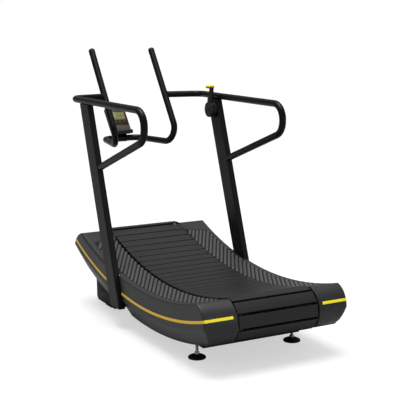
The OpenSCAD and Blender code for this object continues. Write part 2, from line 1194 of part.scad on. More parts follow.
// Outline of a belt round the drive pulley and the brake pulley
module belt_outline(grow) {
    a = front_axle_c;
    b = brake_c;
    ra = drive_pulley_r + grow;
    rb = brake_pulley_r + grow;
    line = atan2(b[1] - a[1], b[0] - a[0]);
    lean = acos((ra - rb) / norm(b - a));
    function on(c, r, angle) = c + r * [cos(angle), sin(angle)];
    translate(a)
        circle(ra);
    translate(b)
        circle(rb);
    polygon([
        on(a, ra, line - lean), on(b, rb, line - lean),
        on(b, rb, line + lean), on(a, ra, line + lean)
    ]);
}

module drive_belt() {
    color("black")
        translate([pulley_x[0] + 2, 0, 0])
            rotate([90, 0, 90])
                linear_extrude(pulley_x[1] - pulley_x[0] - 4)
                    difference() {
                        belt_outline(3.1);
                        belt_outline(0.1);
                    }
}

// Stub axle of the brake disc and pivot pin of the caliper, on flanges
module brake_stand() {
    color("gray") {
        disc(brake_c, 30, [plate_x[1] + seat_gap, plate_x[1] + 8]);
        disc(brake_c, 8, [plate_x[1] + 7, disc_x[1] + 6]);
        disc(caliper_c, 16, [plate_x[1] + seat_gap, plate_x[1] + 8]);
        disc(caliper_c, 5, [plate_x[1] + 7, disc_x[1] + 12]);
    }
}

module brake_disc() {
    color("silver")
        difference() {
            disc(brake_c, disc_r, disc_x, 8 + run_gap);
            for (i = [0 : 5])
                around(brake_c)
                    rotate([0, 0, i * 60])
                        translate([36, 0, disc_x[0] - 1])
                            cylinder(h = 12, r = 9);
        }
}

module brake_pulley() {
    color("darkgray") {
        disc(brake_c, brake_pulley_r, pulley_x, 8 + run_gap);
        disc(brake_c, 14, [pulley_x[1] - 1, disc_x[0] - seat_gap], 8 + run_gap);
    }
}

// Two plates astride the rim of the disc, joined at the pivot
module magnet_caliper() {
    toward = direction(brake_c - caliper_c);
    color("dimgray")
        difference() {
            union() {
                disc(caliper_c, 13, [disc_x[0] - 11, disc_x[1] + 11]);
                around(caliper_c)
                    rotate([0, 0, toward])
                        for (x = [disc_x[0] - 11, disc_x[1] + 8])
                            translate([0, -12, x])
                                cube([62, 24, 3]);
            }
            disc(caliper_c, 5 + run_gap, [disc_x[0] - 20, disc_x[1] + 20]);
        }
}

module brake_magnets() {
    toward = direction(brake_c - caliper_c);
    color("silver")
        around(caliper_c)
            rotate([0, 0, toward])
                for (x = [disc_x[0] - 8 + seat_gap, disc_x[1] + 3 - seat_gap])
                    for (s = [36, 52])
                        translate([s, 0, x])
                            cylinder(h = 5, r = 7);
}

cable_hole = [surface_low_y + upright_v + upright_slope * 300, 300];
cable_r = 3;

// Cable from the lever down the right upright and across to the caliper
module brake_cable() {
    top_z = lever_z - 70;
    color("black")
        bent_tube(
            [
                place([upright_x, upright_v + upright_slope * top_z, top_z]),
                [upright_x, cable_hole[0], cable_hole[1]],
                [366, cable_hole[0], cable_hole[1]],
                [366, caliper_c[0] - 18, caliper_c[1]]
            ],
            [30, 30], cable_r, 1.2
        );
}

base_frame();
deck_plate_left();
deck_plate_right();
deck_spacers();
guide_bearings();
bearing_studs();
axle_bearings();
front_axle();
front_pulleys();
rear_axle();
rear_pulleys();
slats_top();
slats_front();
slats_bottom();
slats_rear();
carriers_top();
carriers_front();
carriers_bottom();
carriers_rear();
drive_pulley();
drive_belt();
brake_stand();
brake_disc();
brake_pulley();
magnet_caliper();
brake_magnets();
brake_cable();
rear_cover_left();
rear_cover_right();
front_cover_left();
front_cover_right();
rear_cap_left();
rear_cap_right();
foot_pad_left();
foot_pad_right();
trim_strips();
upright_left();
upright_right();
upright_bolts();
handrail_left();
handrail_right();
handlebar();
handlebar_plugs();
console_bracket();
console_housing();
console_screen();
button_up();
button_down();
button_left();
button_right();
lever_housing();
lever_arm();
lever_cap();
front_legs();
front_feet();
rear_foot_left();
rear_foot_right();
foot_stem_left();
foot_stem_right();
foot_nuts();
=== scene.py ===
import json
import math

import bmesh
import bpy
from mathutils import Matrix, Vector


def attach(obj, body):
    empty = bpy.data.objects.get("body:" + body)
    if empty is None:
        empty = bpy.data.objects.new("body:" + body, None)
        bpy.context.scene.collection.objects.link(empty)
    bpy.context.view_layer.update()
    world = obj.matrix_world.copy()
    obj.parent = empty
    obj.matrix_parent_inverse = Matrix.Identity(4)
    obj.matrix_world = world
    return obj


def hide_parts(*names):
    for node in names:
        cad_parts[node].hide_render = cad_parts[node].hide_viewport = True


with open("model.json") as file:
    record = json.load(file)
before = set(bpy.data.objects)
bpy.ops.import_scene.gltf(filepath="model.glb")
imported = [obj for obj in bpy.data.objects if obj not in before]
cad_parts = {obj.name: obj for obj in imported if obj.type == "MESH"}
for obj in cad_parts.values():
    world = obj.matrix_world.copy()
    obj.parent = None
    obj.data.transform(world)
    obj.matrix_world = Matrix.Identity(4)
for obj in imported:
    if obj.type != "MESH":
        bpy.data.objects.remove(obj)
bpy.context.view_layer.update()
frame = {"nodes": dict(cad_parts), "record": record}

MM = 0.001

# ---- the frame's own places
JOINTS = {j["name"]: j for j in frame["record"]["behaviour"]["joints"]}


def joint_centre(name):
    """(y, z) of a joint across the machine, in mm."""
    p = JOINTS[name]["pos_m"]
    return p[1] / MM, p[2] / MM


SURFACE = joint_centre("belt_top")
FRONT = joint_centre("belt_front")
RETURN = joint_centre("belt_bottom")
REAR = joint_centre("belt_rear")
LEVER = joint_centre("lever_tilt")
V0 = SURFACE[0]
SURFACE_R, FRONT_R, REAR_R, RETURN_R = 2300.0, 101.0, 112.0, 5000.0

# Belt
TREAD_W, LEDGE_W, SLAT_T, SLAT_LEN, SLAT_STEP = 63.6, 68.4, 8.0, 474.0, 70.0
CARRIER_MID = SLAT_T + 0.4 + 2.5
SLAT_SEAM = 13.5
# Depth, width and length of the rib under a slat
RIB = (5.0, 10.0, 300.0)

# Covers
SIDE_X, WELL_X = 430.0, 246.0
CREASE, SKIRT, TUCK = 136.0, 220.0, 44.0
CAP_R, CAP_SIDE_R = 116.0, 102.0
LEAN = math.radians(19.8)
UPRIGHT_V, UPRIGHT_D, UPRIGHT_IN = 279.0, 120.0, 416.0
SLOT_GAP = 14.0
NOSE_R, NOSE_V, NOSE_Z = 159.0, 846.0, 292.0
NOSE_TIP, NOSE_FOOT = (992.0, 357.0), (888.0, 229.0)

# ---- materials


def srgb(h):
    """Linear colour of a hex sRGB string."""
    out = []
    for i in (0, 2, 4):
        c = int(h[i:i + 2], 16) / 255
        out.append(c / 12.92 if c <= 0.04045 else ((c + 0.055) / 1.055) ** 2.4)
    return tuple(out) + (1.0,)


class Nodes:
    """Small helper that wires a procedural material."""

    def __init__(self, name):
        self.mat = bpy.data.materials.new(name)
        self.mat.use_nodes = True
        self.tree = self.mat.node_tree
        self.bsdf = self.tree.nodes["Principled BSDF"]
        self.coord = self.add("ShaderNodeTexCoord").outputs["Object"]

    def add(self, kind, **values):
        n = self.tree.nodes.new(kind)
        for k, v in values.items():
            if hasattr(n, k):
                setattr(n, k, v)
            else:
                n.inputs[k.replace("_", " ")].default_value = v
        return n

    def link(self, a, b):
        self.tree.links.new(a, b)

    def noise(self, scale, detail=4.0, rough=0.6, stretch=None):
        n = self.add("ShaderNodeTexNoise", Scale=scale, Detail=detail, Roughness=rough)
        source = self.coord
        if stretch:
            m = self.add("ShaderNodeMapping")
            m.inputs["Scale"].default_value = stretch
            self.link(self.coord, m.inputs["Vector"])
            source = m.outputs["Vector"]
        self.link(source, n.inputs["Vector"])
        return n.outputs["Fac"]

    def ramp(self, fac, a, b, lo=0.35, hi=0.65):
        r = self.add("ShaderNodeValToRGB")
        r.color_ramp.elements[0].position = lo
        r.color_ramp.elements[0].color = a
        r.color_ramp.elements[1].position = hi
        r.color_ramp.elements[1].color = b
        self.link(fac, r.inputs["Fac"])
        return r.outputs["Color"]

    def span(self, fac, lo, hi):
        m = self.add("ShaderNodeMapRange")
        m.inputs["To Min"].default_value = lo
        m.inputs["To Max"].default_value = hi
        self.link(fac, m.inputs["Value"])
        return m.outputs["Result"]

    def mix(self, fac, a, b):
        m = self.add("ShaderNodeMix", data_type="RGBA")
        for value, socket in ((fac, m.inputs[0]), (a, m.inputs[6]), (b, m.inputs[7])):
            if hasattr(value, "links"):
                self.link(value, socket)
            else:
                socket.default_value = value
        return m.outputs[2]

    def edges(self, radius, lo=0.02, hi=0.12):
        """1 along edges, from the difference between the true and a rounded normal."""
        bev = self.add("ShaderNodeBevel", samples=4)
        bev.inputs["Radius"].default_value = radius
        geo = self.add("ShaderNodeNewGeometry")
        dot = self.add("ShaderNodeVectorMath", operation="DOT_PRODUCT")
        self.link(bev.outputs["Normal"], dot.inputs[0])
        self.link(geo.outputs["Normal"], dot.inputs[1])
        inv = self.add("ShaderNodeMath", operation="SUBTRACT")
        inv.inputs[0].default_value = 1.0
        self.link(dot.outputs["Value"], inv.inputs[1])
        r = self.add("ShaderNodeMapRange")
        r.inputs["From Min"].default_value = lo
        r.inputs["From Max"].default_value = hi
        self.link(inv.outputs["Value"], r.inputs["Value"])
        return r.outputs["Result"], bev.outputs["Normal"]


def surface(name, base, base2, rough, metal=0.0, grain=900.0, bump=0.12, broad=9.0,
            edge_wear_and_highlight=None, coat=0.0, edge=0.0012, stretch=None, spec=0.5, top_highlight=0.0):
    """A finish: two close colours over a broad noise, roughness and bump over a fine grain, edges lightened
    partly as wear and partly as a painted highlight, and a painted highlight on faces that point up.
    """
    n = Nodes(name)
    wide = n.noise(broad, 5.0, 0.6)
    fine = n.noise(grain, 3.0, 0.55, stretch)
    colour = n.ramp(wide, base, base2, 0.3, 0.7)
    rim, soft = n.edges(edge)
    if edge_wear_and_highlight:
        # Edges are lightened in noisy patches towards the given colour: partly wear, partly a painted highlight
        # along the edges
        scratch = n.noise(70.0, 6.0, 0.7)
        amount = n.add("ShaderNodeMath", operation="MULTIPLY")
        n.link(rim, amount.inputs[0])
        n.link(n.span(scratch, 0.15, 0.8), amount.inputs[1])
        colour = n.mix(amount.outputs[0], colour, edge_wear_and_highlight)
    if top_highlight:
        # Painted highlight: faces that point up are lightened towards grey 8A8A88 in noisy patches
        geo = n.add("ShaderNodeNewGeometry")
        up = n.add("ShaderNodeSeparateXYZ")
        n.link(geo.outputs["Normal"], up.inputs[0])
        lie = n.add("ShaderNodeMapRange")
        lie.inputs["From Min"].default_value = 0.5
        lie.inputs["To Max"].default_value = top_highlight
        n.link(up.outputs["Z"], lie.inputs["Value"])
        lit_patch = n.add("ShaderNodeMath", operation="MULTIPLY")
        n.link(lie.outputs["Result"], lit_patch.inputs[0])
        n.link(n.noise(35.0, 6.0, 0.7), lit_patch.inputs[1])
        colour = n.mix(lit_patch.outputs[0], colour, srgb("8A8A88"))
    n.link(colour, n.bsdf.inputs["Base Color"])
    n.link(n.span(fine, rough - 0.06, rough + 0.08), n.bsdf.inputs["Roughness"])
    n.bsdf.inputs["Metallic"].default_value = metal
    n.bsdf.inputs["Specular IOR Level"].default_value = spec
    n.bsdf.inputs["Coat Weight"].default_value = coat
    n.bsdf.inputs["Coat Roughness"].default_value = 0.12
    b = n.add("ShaderNodeBump")
    b.inputs["Strength"].default_value = bump
    b.inputs["Distance"].default_value = 0.0004
    n.link(fine, b.inputs["Height"])
    n.link(soft, b.inputs["Normal"])
    n.link(b.outputs["Normal"], n.bsdf.inputs["Normal"])
    return n.mat


MATS = {
    "frame_steel": surface("frame_steel", srgb("121213"), srgb("161617"), 0.45, edge_wear_and_highlight=srgb("2E2F31"), grain=600,
            spec=0.2),
    "powder_black": surface("powder_black", srgb("101011"), srgb("141415"), 0.42,
            edge_wear_and_highlight=srgb("2A2A2C"), grain=1400, bump=0.2, edge=0.002, spec=0.14),
    "rail_black": surface("rail_black", srgb("080809"), srgb("0B0B0C"), 0.3, edge_wear_and_highlight=srgb("161618"), grain=500,
            bump=0.05, spec=0.13),
    "bearing_steel": surface("bearing_steel", srgb("B6B8BC"), srgb("9EA0A4"), 0.25, 1.0, grain=1500,
            stretch=(0.05, 1, 1), bump=0.1),
    "zinc": surface("zinc", srgb("D0D3D8"), srgb("AEB2B8"), 0.18, 1.0, grain=800, bump=0.08),
    "cast_iron": surface("cast_iron", srgb("3A3A3C"), srgb("2C2C2E"), 0.6, 0.6, grain=300, bump=0.5),
    "pulley": surface("pulley", srgb("A4A7AB"), srgb("8E9195"), 0.32, 1.0, grain=1200, stretch=(0.05, 1, 1)),
    "belt_rubber": surface("belt_rubber", srgb("101010"), srgb("151515"), 0.7, grain=500, bump=0.4, spec=0.2),
    "cover": surface("cover", srgb("222224"), srgb("262628"), 0.42, grain=2200, bump=0.22, edge_wear_and_highlight=srgb("47474B"),
            edge=0.0025, spec=0.28, top_highlight=0.05),
    "pad_rubber": surface("pad_rubber", srgb("3A3A3C"), srgb("424244"), 0.42, grain=900, bump=0.3,
            edge_wear_and_highlight=srgb("606062"), edge=0.0015, top_highlight=0.12, spec=0.35),
    "yellow": surface("yellow", srgb("F5E31C"), srgb("EFDA18"), 0.34, grain=900, bump=0.08, coat=0.1,
            edge_wear_and_highlight=srgb("F0D85A"), edge=0.0008, spec=0.3),
    "plug": surface("plug", srgb("0C0C0D"), srgb("121213"), 0.38, grain=900, bump=0.15, spec=0.3),
    "console_black": surface("console_black", srgb("111112"), srgb("161617"), 0.4, grain=2000, bump=0.25,
            edge_wear_and_highlight=srgb("2A2A2C"), edge=0.0015, spec=0.3),
    "key": surface("key", srgb("4C3C2C"), srgb("584632"), 0.55, grain=1500, bump=0.2, spec=0.2),
    "foot_rubber": surface("foot_rubber", srgb("0A0A0A"), srgb("101010"), 0.62, grain=500, bump=0.4, spec=0.2),
}


def tread_material():
    """Rubber tread: broad patches of shine over a fine grain, with a painted highlight along the rims."""
    n = Nodes("tread")
    wide = n.noise(6.0, 6.0, 0.65, (0.6, 1.5, 1.5))
    fine = n.noise(1600.0, 3.0, 0.6)
    colour = n.ramp(wide, srgb("131313"), srgb("191919"), 0.3, 0.7)
    rim, soft = n.edges(0.0015)
    # Painted highlight: the rims of each slat are lightened towards grey 343434
    colour = n.mix(n.span(rim, 0.0, 0.5), colour, srgb("343434"))
    n.link(colour, n.bsdf.inputs["Base Color"])
    n.link(n.span(wide, 0.36, 0.5), n.bsdf.inputs["Roughness"])
    n.bsdf.inputs["Specular IOR Level"].default_value = 0.3
    b = n.add("ShaderNodeBump")
    b.inputs["Strength"].default_value = 0.3
    b.inputs["Distance"].default_value = 0.0003
    n.link(fine, b.inputs["Height"])
    n.link(soft, b.inputs["Normal"])
    n.link(b.outputs["Normal"], n.bsdf.inputs["Normal"])
    return n.mat


def lcd_material():
    """Olive liquid crystal behind a clear window."""
    n = Nodes("lcd")
    colour = n.ramp(n.noise(14.0, 3.0), srgb("5C5C26"), srgb("68682F"), 0.3, 0.7)
    n.link(colour, n.bsdf.inputs["Base Color"])
    # The display glows faintly in its own colour: a painted glow
    n.link(colour, n.bsdf.inputs["Emission Color"])
    n.bsdf.inputs["Emission Strength"].default_value = 0.05
    n.link(n.span(n.noise(900.0), 0.12, 0.2), n.bsdf.inputs["Roughness"])
    n.bsdf.inputs["Coat Weight"].default_value = 0.6
    return n.mat


MATS["tread"] = tread_material()
MATS["lcd"] = lcd_material()
MATS["cap"] = MATS["cover"]
# Darker base of the foot pads, between and round the ribs: painted shade
MATS["pad_floor"] = surface("pad_floor", srgb("131314"), srgb("18181A"), 0.6, grain=900, bump=0.3, spec=0.15)
# A darker, more golden copy of the yellow for the strips' side faces: painted shade
MATS["yellow_shaded_side"] = surface("yellow_shaded_side", srgb("E9BE1C"), srgb("E2B518"), 0.34, grain=900,
                              bump=0.08, spec=0.3)
# Near-black for the walls and ledges of the gaps between slats: painted shade
MATS["groove"] = surface("groove", srgb("070707"), srgb("0B0B0B"), 0.7, grain=700, bump=0.2, spec=0.1)
MATS["window"] = surface("window", srgb("2A150E"), srgb("301C0E"), 0.22, grain=1500, bump=0.04, spec=0.3)
MATS["panel"] = surface("panel", srgb("3C3936"), srgb("45413D"), 0.42, grain=1800, bump=0.12, spec=0.3)
MATS["segment"] = surface("segment", srgb("74763A"), srgb("6C6E36"), 0.4, grain=900, bump=0.02)

# ---- mesh helpers


def finish_mesh(name, bm, slot, body="frame", nodes=(), mats=None, angle=32.0, solid=0.0):
    """Turns a bmesh in mm into a piece in metres on its body."""
    bmesh.ops.remove_doubles(bm, verts=bm.verts, dist=0.02)
    bmesh.ops.recalc_face_normals(bm, faces=bm.faces)
    if solid:
        turn_outward(bm)
    bmesh.ops.scale(bm, vec=(MM, MM, MM), verts=bm.verts)
    me = bpy.data.meshes.new(name)
    bm.to_mesh(me)
    bm.free()
    me.polygons.foreach_set("use_smooth", [True] * len(me.polygons))
    me.set_sharp_from_angle(angle=math.radians(angle))
    obj = bpy.data.objects.new(name, me)
    bpy.context.scene.collection.objects.link(obj)
    for m in mats or [MATS[slot]]:
        me.materials.append(m)
    if solid:
        mod = obj.modifiers.new("Shell", "SOLIDIFY")
        mod.thickness = solid * MM
        mod.offset = -1.0
    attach(obj, body)
    if nodes:
        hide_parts(*nodes)
    return obj


def turn_outward(bm):
    """Flips an open shell whose normals point to its middle."""
    middle = sum((f.calc_center_median() for f in bm.faces), Vector()) / len(bm.faces)
    out = sum(f.normal.dot(f.calc_center_median() - middle) * f.calc_area() for f in bm.faces)
    if out < 0:
        bmesh.ops.reverse_faces(bm, faces=bm.faces)


def add_grid(bm, rows):
    """Quads between rows of points; returns the rows of verts."""
    vs = [[bm.verts.new(p) for p in row] for row in rows]
    for a, b in zip(vs, vs[1:]):
        for i in range(len(a) - 1):
            quad = [a[i], a[i + 1], b[i + 1], b[i]]
            if len({tuple(round(c, 3) for c in v.co) for v in quad}) == 4:
                bm.faces.new(quad)
            else:
                seen, tri = set(), []
                for v in quad:
                    key = tuple(round(c, 3) for c in v.co)
                    if key not in seen:
                        seen.add(key)
                        tri.append(v)
                if len(tri) == 3:
                    bm.faces.new(tri)
    return vs


def rounded_box(bm, lo, hi, r, segments=3, matrix=None):
    """A box with rounded edges."""
    made = bmesh.ops.create_cube(bm, size=1.0)["verts"]
    size = [hi[i] - lo[i] for i in range(3)]
    mid = [(hi[i] + lo[i]) / 2 for i in range(3)]
    bmesh.ops.scale(bm, vec=size, verts=made)
    bmesh.ops.translate(bm, vec=mid, verts=made)
    edges = list({e for v in made for e in v.link_edges})
    out = bmesh.ops.bevel(bm, geom=edges, offset=r, offset_type="OFFSET", segments=segments,
                          profile=0.5, affect="EDGES", clamp_overlap=True)
    verts = list({v for f in out["faces"] for v in f.verts} | {v for v in made if v.is_valid})
    if matrix is not None:
        bmesh.ops.transform(bm, matrix=matrix, verts=verts)


def lathe(bm, profile, matrix, steps=64):
    """Turns (radius, height) points about local Z, closed at both ends."""
    rings = []
    for r, h in profile:
        if r < 1e-6:
            rings.append([bm.verts.new(matrix @ Vector((0, 0, h)))])
        else:
            rings.append([bm.verts.new(matrix @ Vector((r * math.cos(2 * math.pi * i / steps),
                                                        r * math.sin(2 * math.pi * i / steps), h)))
                          for i in range(steps)])
    for a, b in zip(rings, rings[1:]):
        for i in range(steps):
            j = (i + 1) % steps
            if len(a) == 1:
                bm.faces.new([a[0], b[i], b[j]])
            elif len(b) == 1:
                bm.faces.new([a[i], b[0], a[j]])
            else:
                bm.faces.new([a[i], b[i], b[j], a[j]])


def across(y, z, x=0.0, turn=0.0):
    """Local Z along the machine's X, at (x, y, z)."""
    return (Matrix.Translation((x, y, z)) @ Matrix.Rotation(math.radians(90), 4, "Y")
            @ Matrix.Rotation(turn, 4, "Z"))


def fillet_path(points, bends, step=6.0):
    """A polyline with round bends, as a list of points."""
    pts = [Vector(p) for p in points]
    out = [pts[0]]
    for i in range(1, len(pts) - 1):
        u = (pts[i] - pts[i - 1]).normalized()
        w = (pts[i + 1] - pts[i]).normalized()
        turn = math.acos(max(-1.0, min(1.0, u.dot(w))))
        r = bends[i - 1]
        m = (w - u * u.dot(w)).normalized()
        c = pts[i] - u * r * math.tan(turn / 2) + m * r
        n = max(6, int(math.degrees(turn) / step))
        for k in range(n + 1):
            t = turn * k / n
            out.append(c - m * r * math.cos(t) + u * r * math.sin(t))
    out.append(pts[-1])
    return out


def dense(path, gap=60.0):
    """Adds points on long straights, so that shading and bands stay even."""
    out = [path[0]]
    for a, b in zip(path, path[1:]):
        n = max(1, int((b - a).length / gap))
        out += [a + (b - a) * (k / n) for k in range(1, n + 1)]
    return out


def tube(bm, path, r, steps=40, close=True, radii=None):
    """Sweeps a circle along a path, with an even frame and closed ends."""
    path = [Vector(p) for p in path]
    tangents = []
    for i, p in enumerate(path):
        a = path[max(0, i - 1)]
        b = path[min(len(path) - 1, i + 1)]
        tangents.append((b - a).normalized())
    normal = tangents[0].orthogonal().normalized()
    rings = []
    for i, p in enumerate(path):
        if i:
            axis = tangents[i - 1].cross(tangents[i])
            if axis.length > 1e-9:
                normal = Matrix.Rotation(tangents[i - 1].angle(tangents[i]), 3, axis) @ normal
        normal = (normal - tangents[i] * normal.dot(tangents[i])).normalized()
        side = tangents[i].cross(normal)
        rr = radii[i] if radii else r
        rings.append([bm.verts.new(p + (normal * math.cos(2 * math.pi * k / steps)
                                        + side * math.sin(2 * math.pi * k / steps)) * rr)
                      for k in range(steps)])
    for a, b in zip(rings, rings[1:]):
        for k in range(steps):
            j = (k + 1) % steps
            bm.faces.new([a[k], b[k], b[j], a[j]])
    if close:
        bm.faces.new(list(reversed(rings[0])))
        bm.faces.new(rings[-1])


# ---- the slat belt


def direction(centre, point):
    return math.atan2(point[0] - centre[0], centre[1] - point[1])


FRONT_TANGENT = direction(SURFACE, FRONT)
REAR_TANGENT = direction(SURFACE, REAR)
RETURN_FRONT = direction(RETURN, FRONT)
RETURN_REAR = direction(RETURN, REAR)
RUNS = [
    ("top", SURFACE, SURFACE_R, SURFACE_R + CARRIER_MID, REAR_TANGENT, FRONT_TANGENT, -1),
    ("front", FRONT, FRONT_R, FRONT_R - CARRIER_MID, math.pi + FRONT_TANGENT, RETURN_FRONT, 1),
    ("bottom", RETURN, RETURN_R, RETURN_R - CARRIER_MID, RETURN_FRONT, RETURN_REAR, 1),
    ("rear", REAR, REAR_R, REAR_R - CARRIER_MID, RETURN_REAR, REAR_TANGENT - math.pi, 1),
]
LENGTHS = [abs(run[5] - run[4]) * run[3] for run in RUNS]
SLATS = round(sum(LENGTHS) / SLAT_STEP)
PITCH = sum(LENGTHS) / SLATS


def slat_outline():
    """Cross-section of a slat, as (across, height over its back): the tread, then a low ledge each side."""
    w, t, r = TREAD_W / 2, SLAT_T, 1.8
    pts = []
    for cx, a0 in ((w - r, 0), (-(w - r), 90)):
        for k in range(5):
            a = math.radians(a0 + 90 * k / 4)
            pts.append((cx + r * math.cos(a), t - r + r * math.sin(a)))
    ledge = LEDGE_W / 2
    pts += [(-w, 2.2), (-ledge, 1.8), (-ledge, 0.0), (ledge, 0.0), (ledge, 1.8), (w, 2.2)]
    return pts


def add_slat(bm, place):
    """One slat: extruded tread with a groove near each end, and the stiffener under it."""
    half, seam = SLAT_LEN / 2, SLAT_SEAM
    stations = [(-half, 0.985), (-half + 1.2, 1.0), (-half + seam - 0.9, 1.0), (-half + seam - 0.5, 0.93),
                (-half + seam + 0.5, 0.93), (-half + seam + 0.9, 1.0), (0.0, 1.0)]
    stations += [(-x, s) for x, s in reversed(stations[:-1])]
    outline = slat_outline()
    rings = []
    for x, s in stations:
        rings.append([bm.verts.new(place @ Vector((x, p[0] * (1.0 if p[1] < SLAT_T / 2 else 1 - (1 - s) * 0.35),
                                                   SLAT_T / 2 + (p[1] - SLAT_T / 2) * (1 - (1 - s) * 3.2))))
                      for p in outline])
    n = len(outline)
    for a, b in zip(rings, rings[1:]):
        for i in range(n):
            j = (i + 1) % n
            face = bm.faces.new([a[i], a[j], b[j], b[i]])
            # The walls and ledges of the gap get the near-black groove material: painted shade in the gaps
            # between slats
            if max(outline[i][1], outline[j][1]) < SLAT_T - 1.0:
                face.material_index = 1
    bm.faces.new(rings[0])
    bm.faces.new(list(reversed(rings[-1])))
    w, h, l = RIB[1] / 2, RIB[0], RIB[2] / 2
    rib = [(-w, 0.5), (w, 0.5), (w - 1.5, -h), (-w + 1.5, -h)]
    rings = [[bm.verts.new(place @ Vector((x, y, z))) for y, z in rib] for x in (-l, l)]
    for i in range(4):
        j = (i + 1) % 4
        bm.faces.new([rings[0][i], rings[0][j], rings[1][j], rings[1][i]])
    bm.faces.new(rings[0])
    bm.faces.new(list(reversed(rings[1])))


def belt():
    start = 0.0
    for (name, centre, outer, _, a, b, sign), length in zip(RUNS, LENGTHS):
        bm = bmesh.new()
        for i in range(SLATS):
            s = (i + 0.5) * PITCH - start
            if not 0 <= s < length:
                continue
            angle = a + (b - a) * s / length
            out = Vector((0, math.sin(angle), -math.cos(angle)))
            up = out * sign
            foot = Vector((0, centre[0], centre[1])) + out * outer - up * SLAT_T
            along = up.cross(Vector((1, 0, 0)))
            place = Matrix((
                (1, 0, 0, foot.x), (0, along.y, up.y, foot.y), (0, along.z, up.z, foot.z), (0, 0, 0, 1)))
            add_slat(bm, place)
        finish_mesh("slats_" + name + "_detailed", bm, "tread",
                    {"top": "belt_top_run", "front": "belt_front_turn",
                     "bottom": "belt_bottom_run", "rear": "belt_rear_turn"}[name], ["slats_" + name],
                    [MATS["tread"], MATS["groove"]])
        start += length


# ---- covers


def on_arc(depth, angle):
    """(y, z) of the point at a depth under the running surface and an angle forward of straight down."""
    r = SURFACE_R + depth
    return SURFACE[0] + r * math.sin(angle), SURFACE[1] - r * math.cos(angle)


def solve(f, a, b):
    """Root of f between a and b, which f changes sign across."""
    fa = f(a)
    for _ in range(60):
        m = (a + b) / 2
        fm = f(m)
        if (fm > 0) == (fa > 0):
            a, fa = m, fm
        else:
            b = m
    return (a + b) / 2


def slot_angle(depth, ahead):
    """Where a cover at this depth meets the upright's slot."""
    half = UPRIGHT_D / math.cos(LEAN) / 2 + SLOT_GAP

    def f(angle):
        y, z = on_arc(depth, angle)
        return y - V0 - UPRIGHT_V - ahead * half - math.tan(LEAN) * z
    return solve(f, 0.0, math.radians(16))


def rear_angle(depth, x):
    """Where a cover at this depth and x meets the rounded rear end."""
    a = CAP_R + (CAP_SIDE_R - CAP_R) * max(0.0, min(1.0, (x - WELL_X) / (SIDE_X - WELL_X)))

    def f(angle):
        y, z = on_arc(depth, angle)
        return ((y - REAR[0]) / a) ** 2 + ((z - REAR[1]) / CAP_R) ** 2 - 1
    return solve(f, REAR_TANGENT, REAR_TANGENT - math.radians(8))


def nose_angle(depth, x=0.0):
    """Where the front cover at this depth meets the outline of the nose, the same at every x."""
    sx, sz = NOSE_TIP[0] - NOSE_FOOT[0], NOSE_TIP[1] - NOSE_FOOT[1]
    sl = math.hypot(sx, sz)

    def f(angle):
        y, z = on_arc(depth, angle)
        v = y - V0
        circle = math.hypot(v - NOSE_V, z - NOSE_Z) - NOSE_R if v > NOSE_V - 60 else -1.0
        line = ((v - NOSE_FOOT[0]) * sz - (z - NOSE_FOOT[1]) * sx) / sl
        return max(circle, line)
    return solve(f, math.radians(16.0), math.radians(27))


def columns(a, b, n):
    return [a + (b - a) * i / n for i in range(n + 1)]


def round_corner(a, b, c, r, n):
    """Points of a round of radius r at corner b of the line a, b, c."""
    a, b, c = Vector(a), Vector(b), Vector(c)
    u, w = (b - a).normalized(), (c - b).normalized()
    turn = u.angle(w)
    m = (w - u * u.dot(w)).normalized()
    centre = b - u * r * math.tan(turn / 2) + m * r
    return [tuple(centre - m * r * math.cos(turn * k / n) + u * r * math.sin(turn * k / n))
            for k in range(n + 1)]


CORNER, FLANGE, COVER_WALL = 8.0, 30.0, 3.5
# Depth of each cover's top under the running surface, and the radius of its shoulder
REAR_TOP, REAR_SHOULDER = 6.5, 8.0
FRONT_TOP, FRONT_SHOULDER = 8.0, 15.0
BRIDGE_X, BRIDGE_DEPTH = 386.0, 8.5


def wall_corner(side, depth, x, u, limit, inward):
    """A point of the round from a cover's side (u = 0) to its end wall (u = 1)."""
    back = inward / (SURFACE_R + depth) * (1 if limit is rear_angle else -1)
    p0 = Vector((side * x, *on_arc(depth, limit(depth, x) + back)))
    p1 = Vector((side * x, *on_arc(depth, limit(depth, x))))
    p2 = Vector((side * (x - inward), *on_arc(depth, limit(depth, x - inward))))
    return (1 - u) ** 2 * p0 + 2 * u * (1 - u) * p1 + u * u * p2


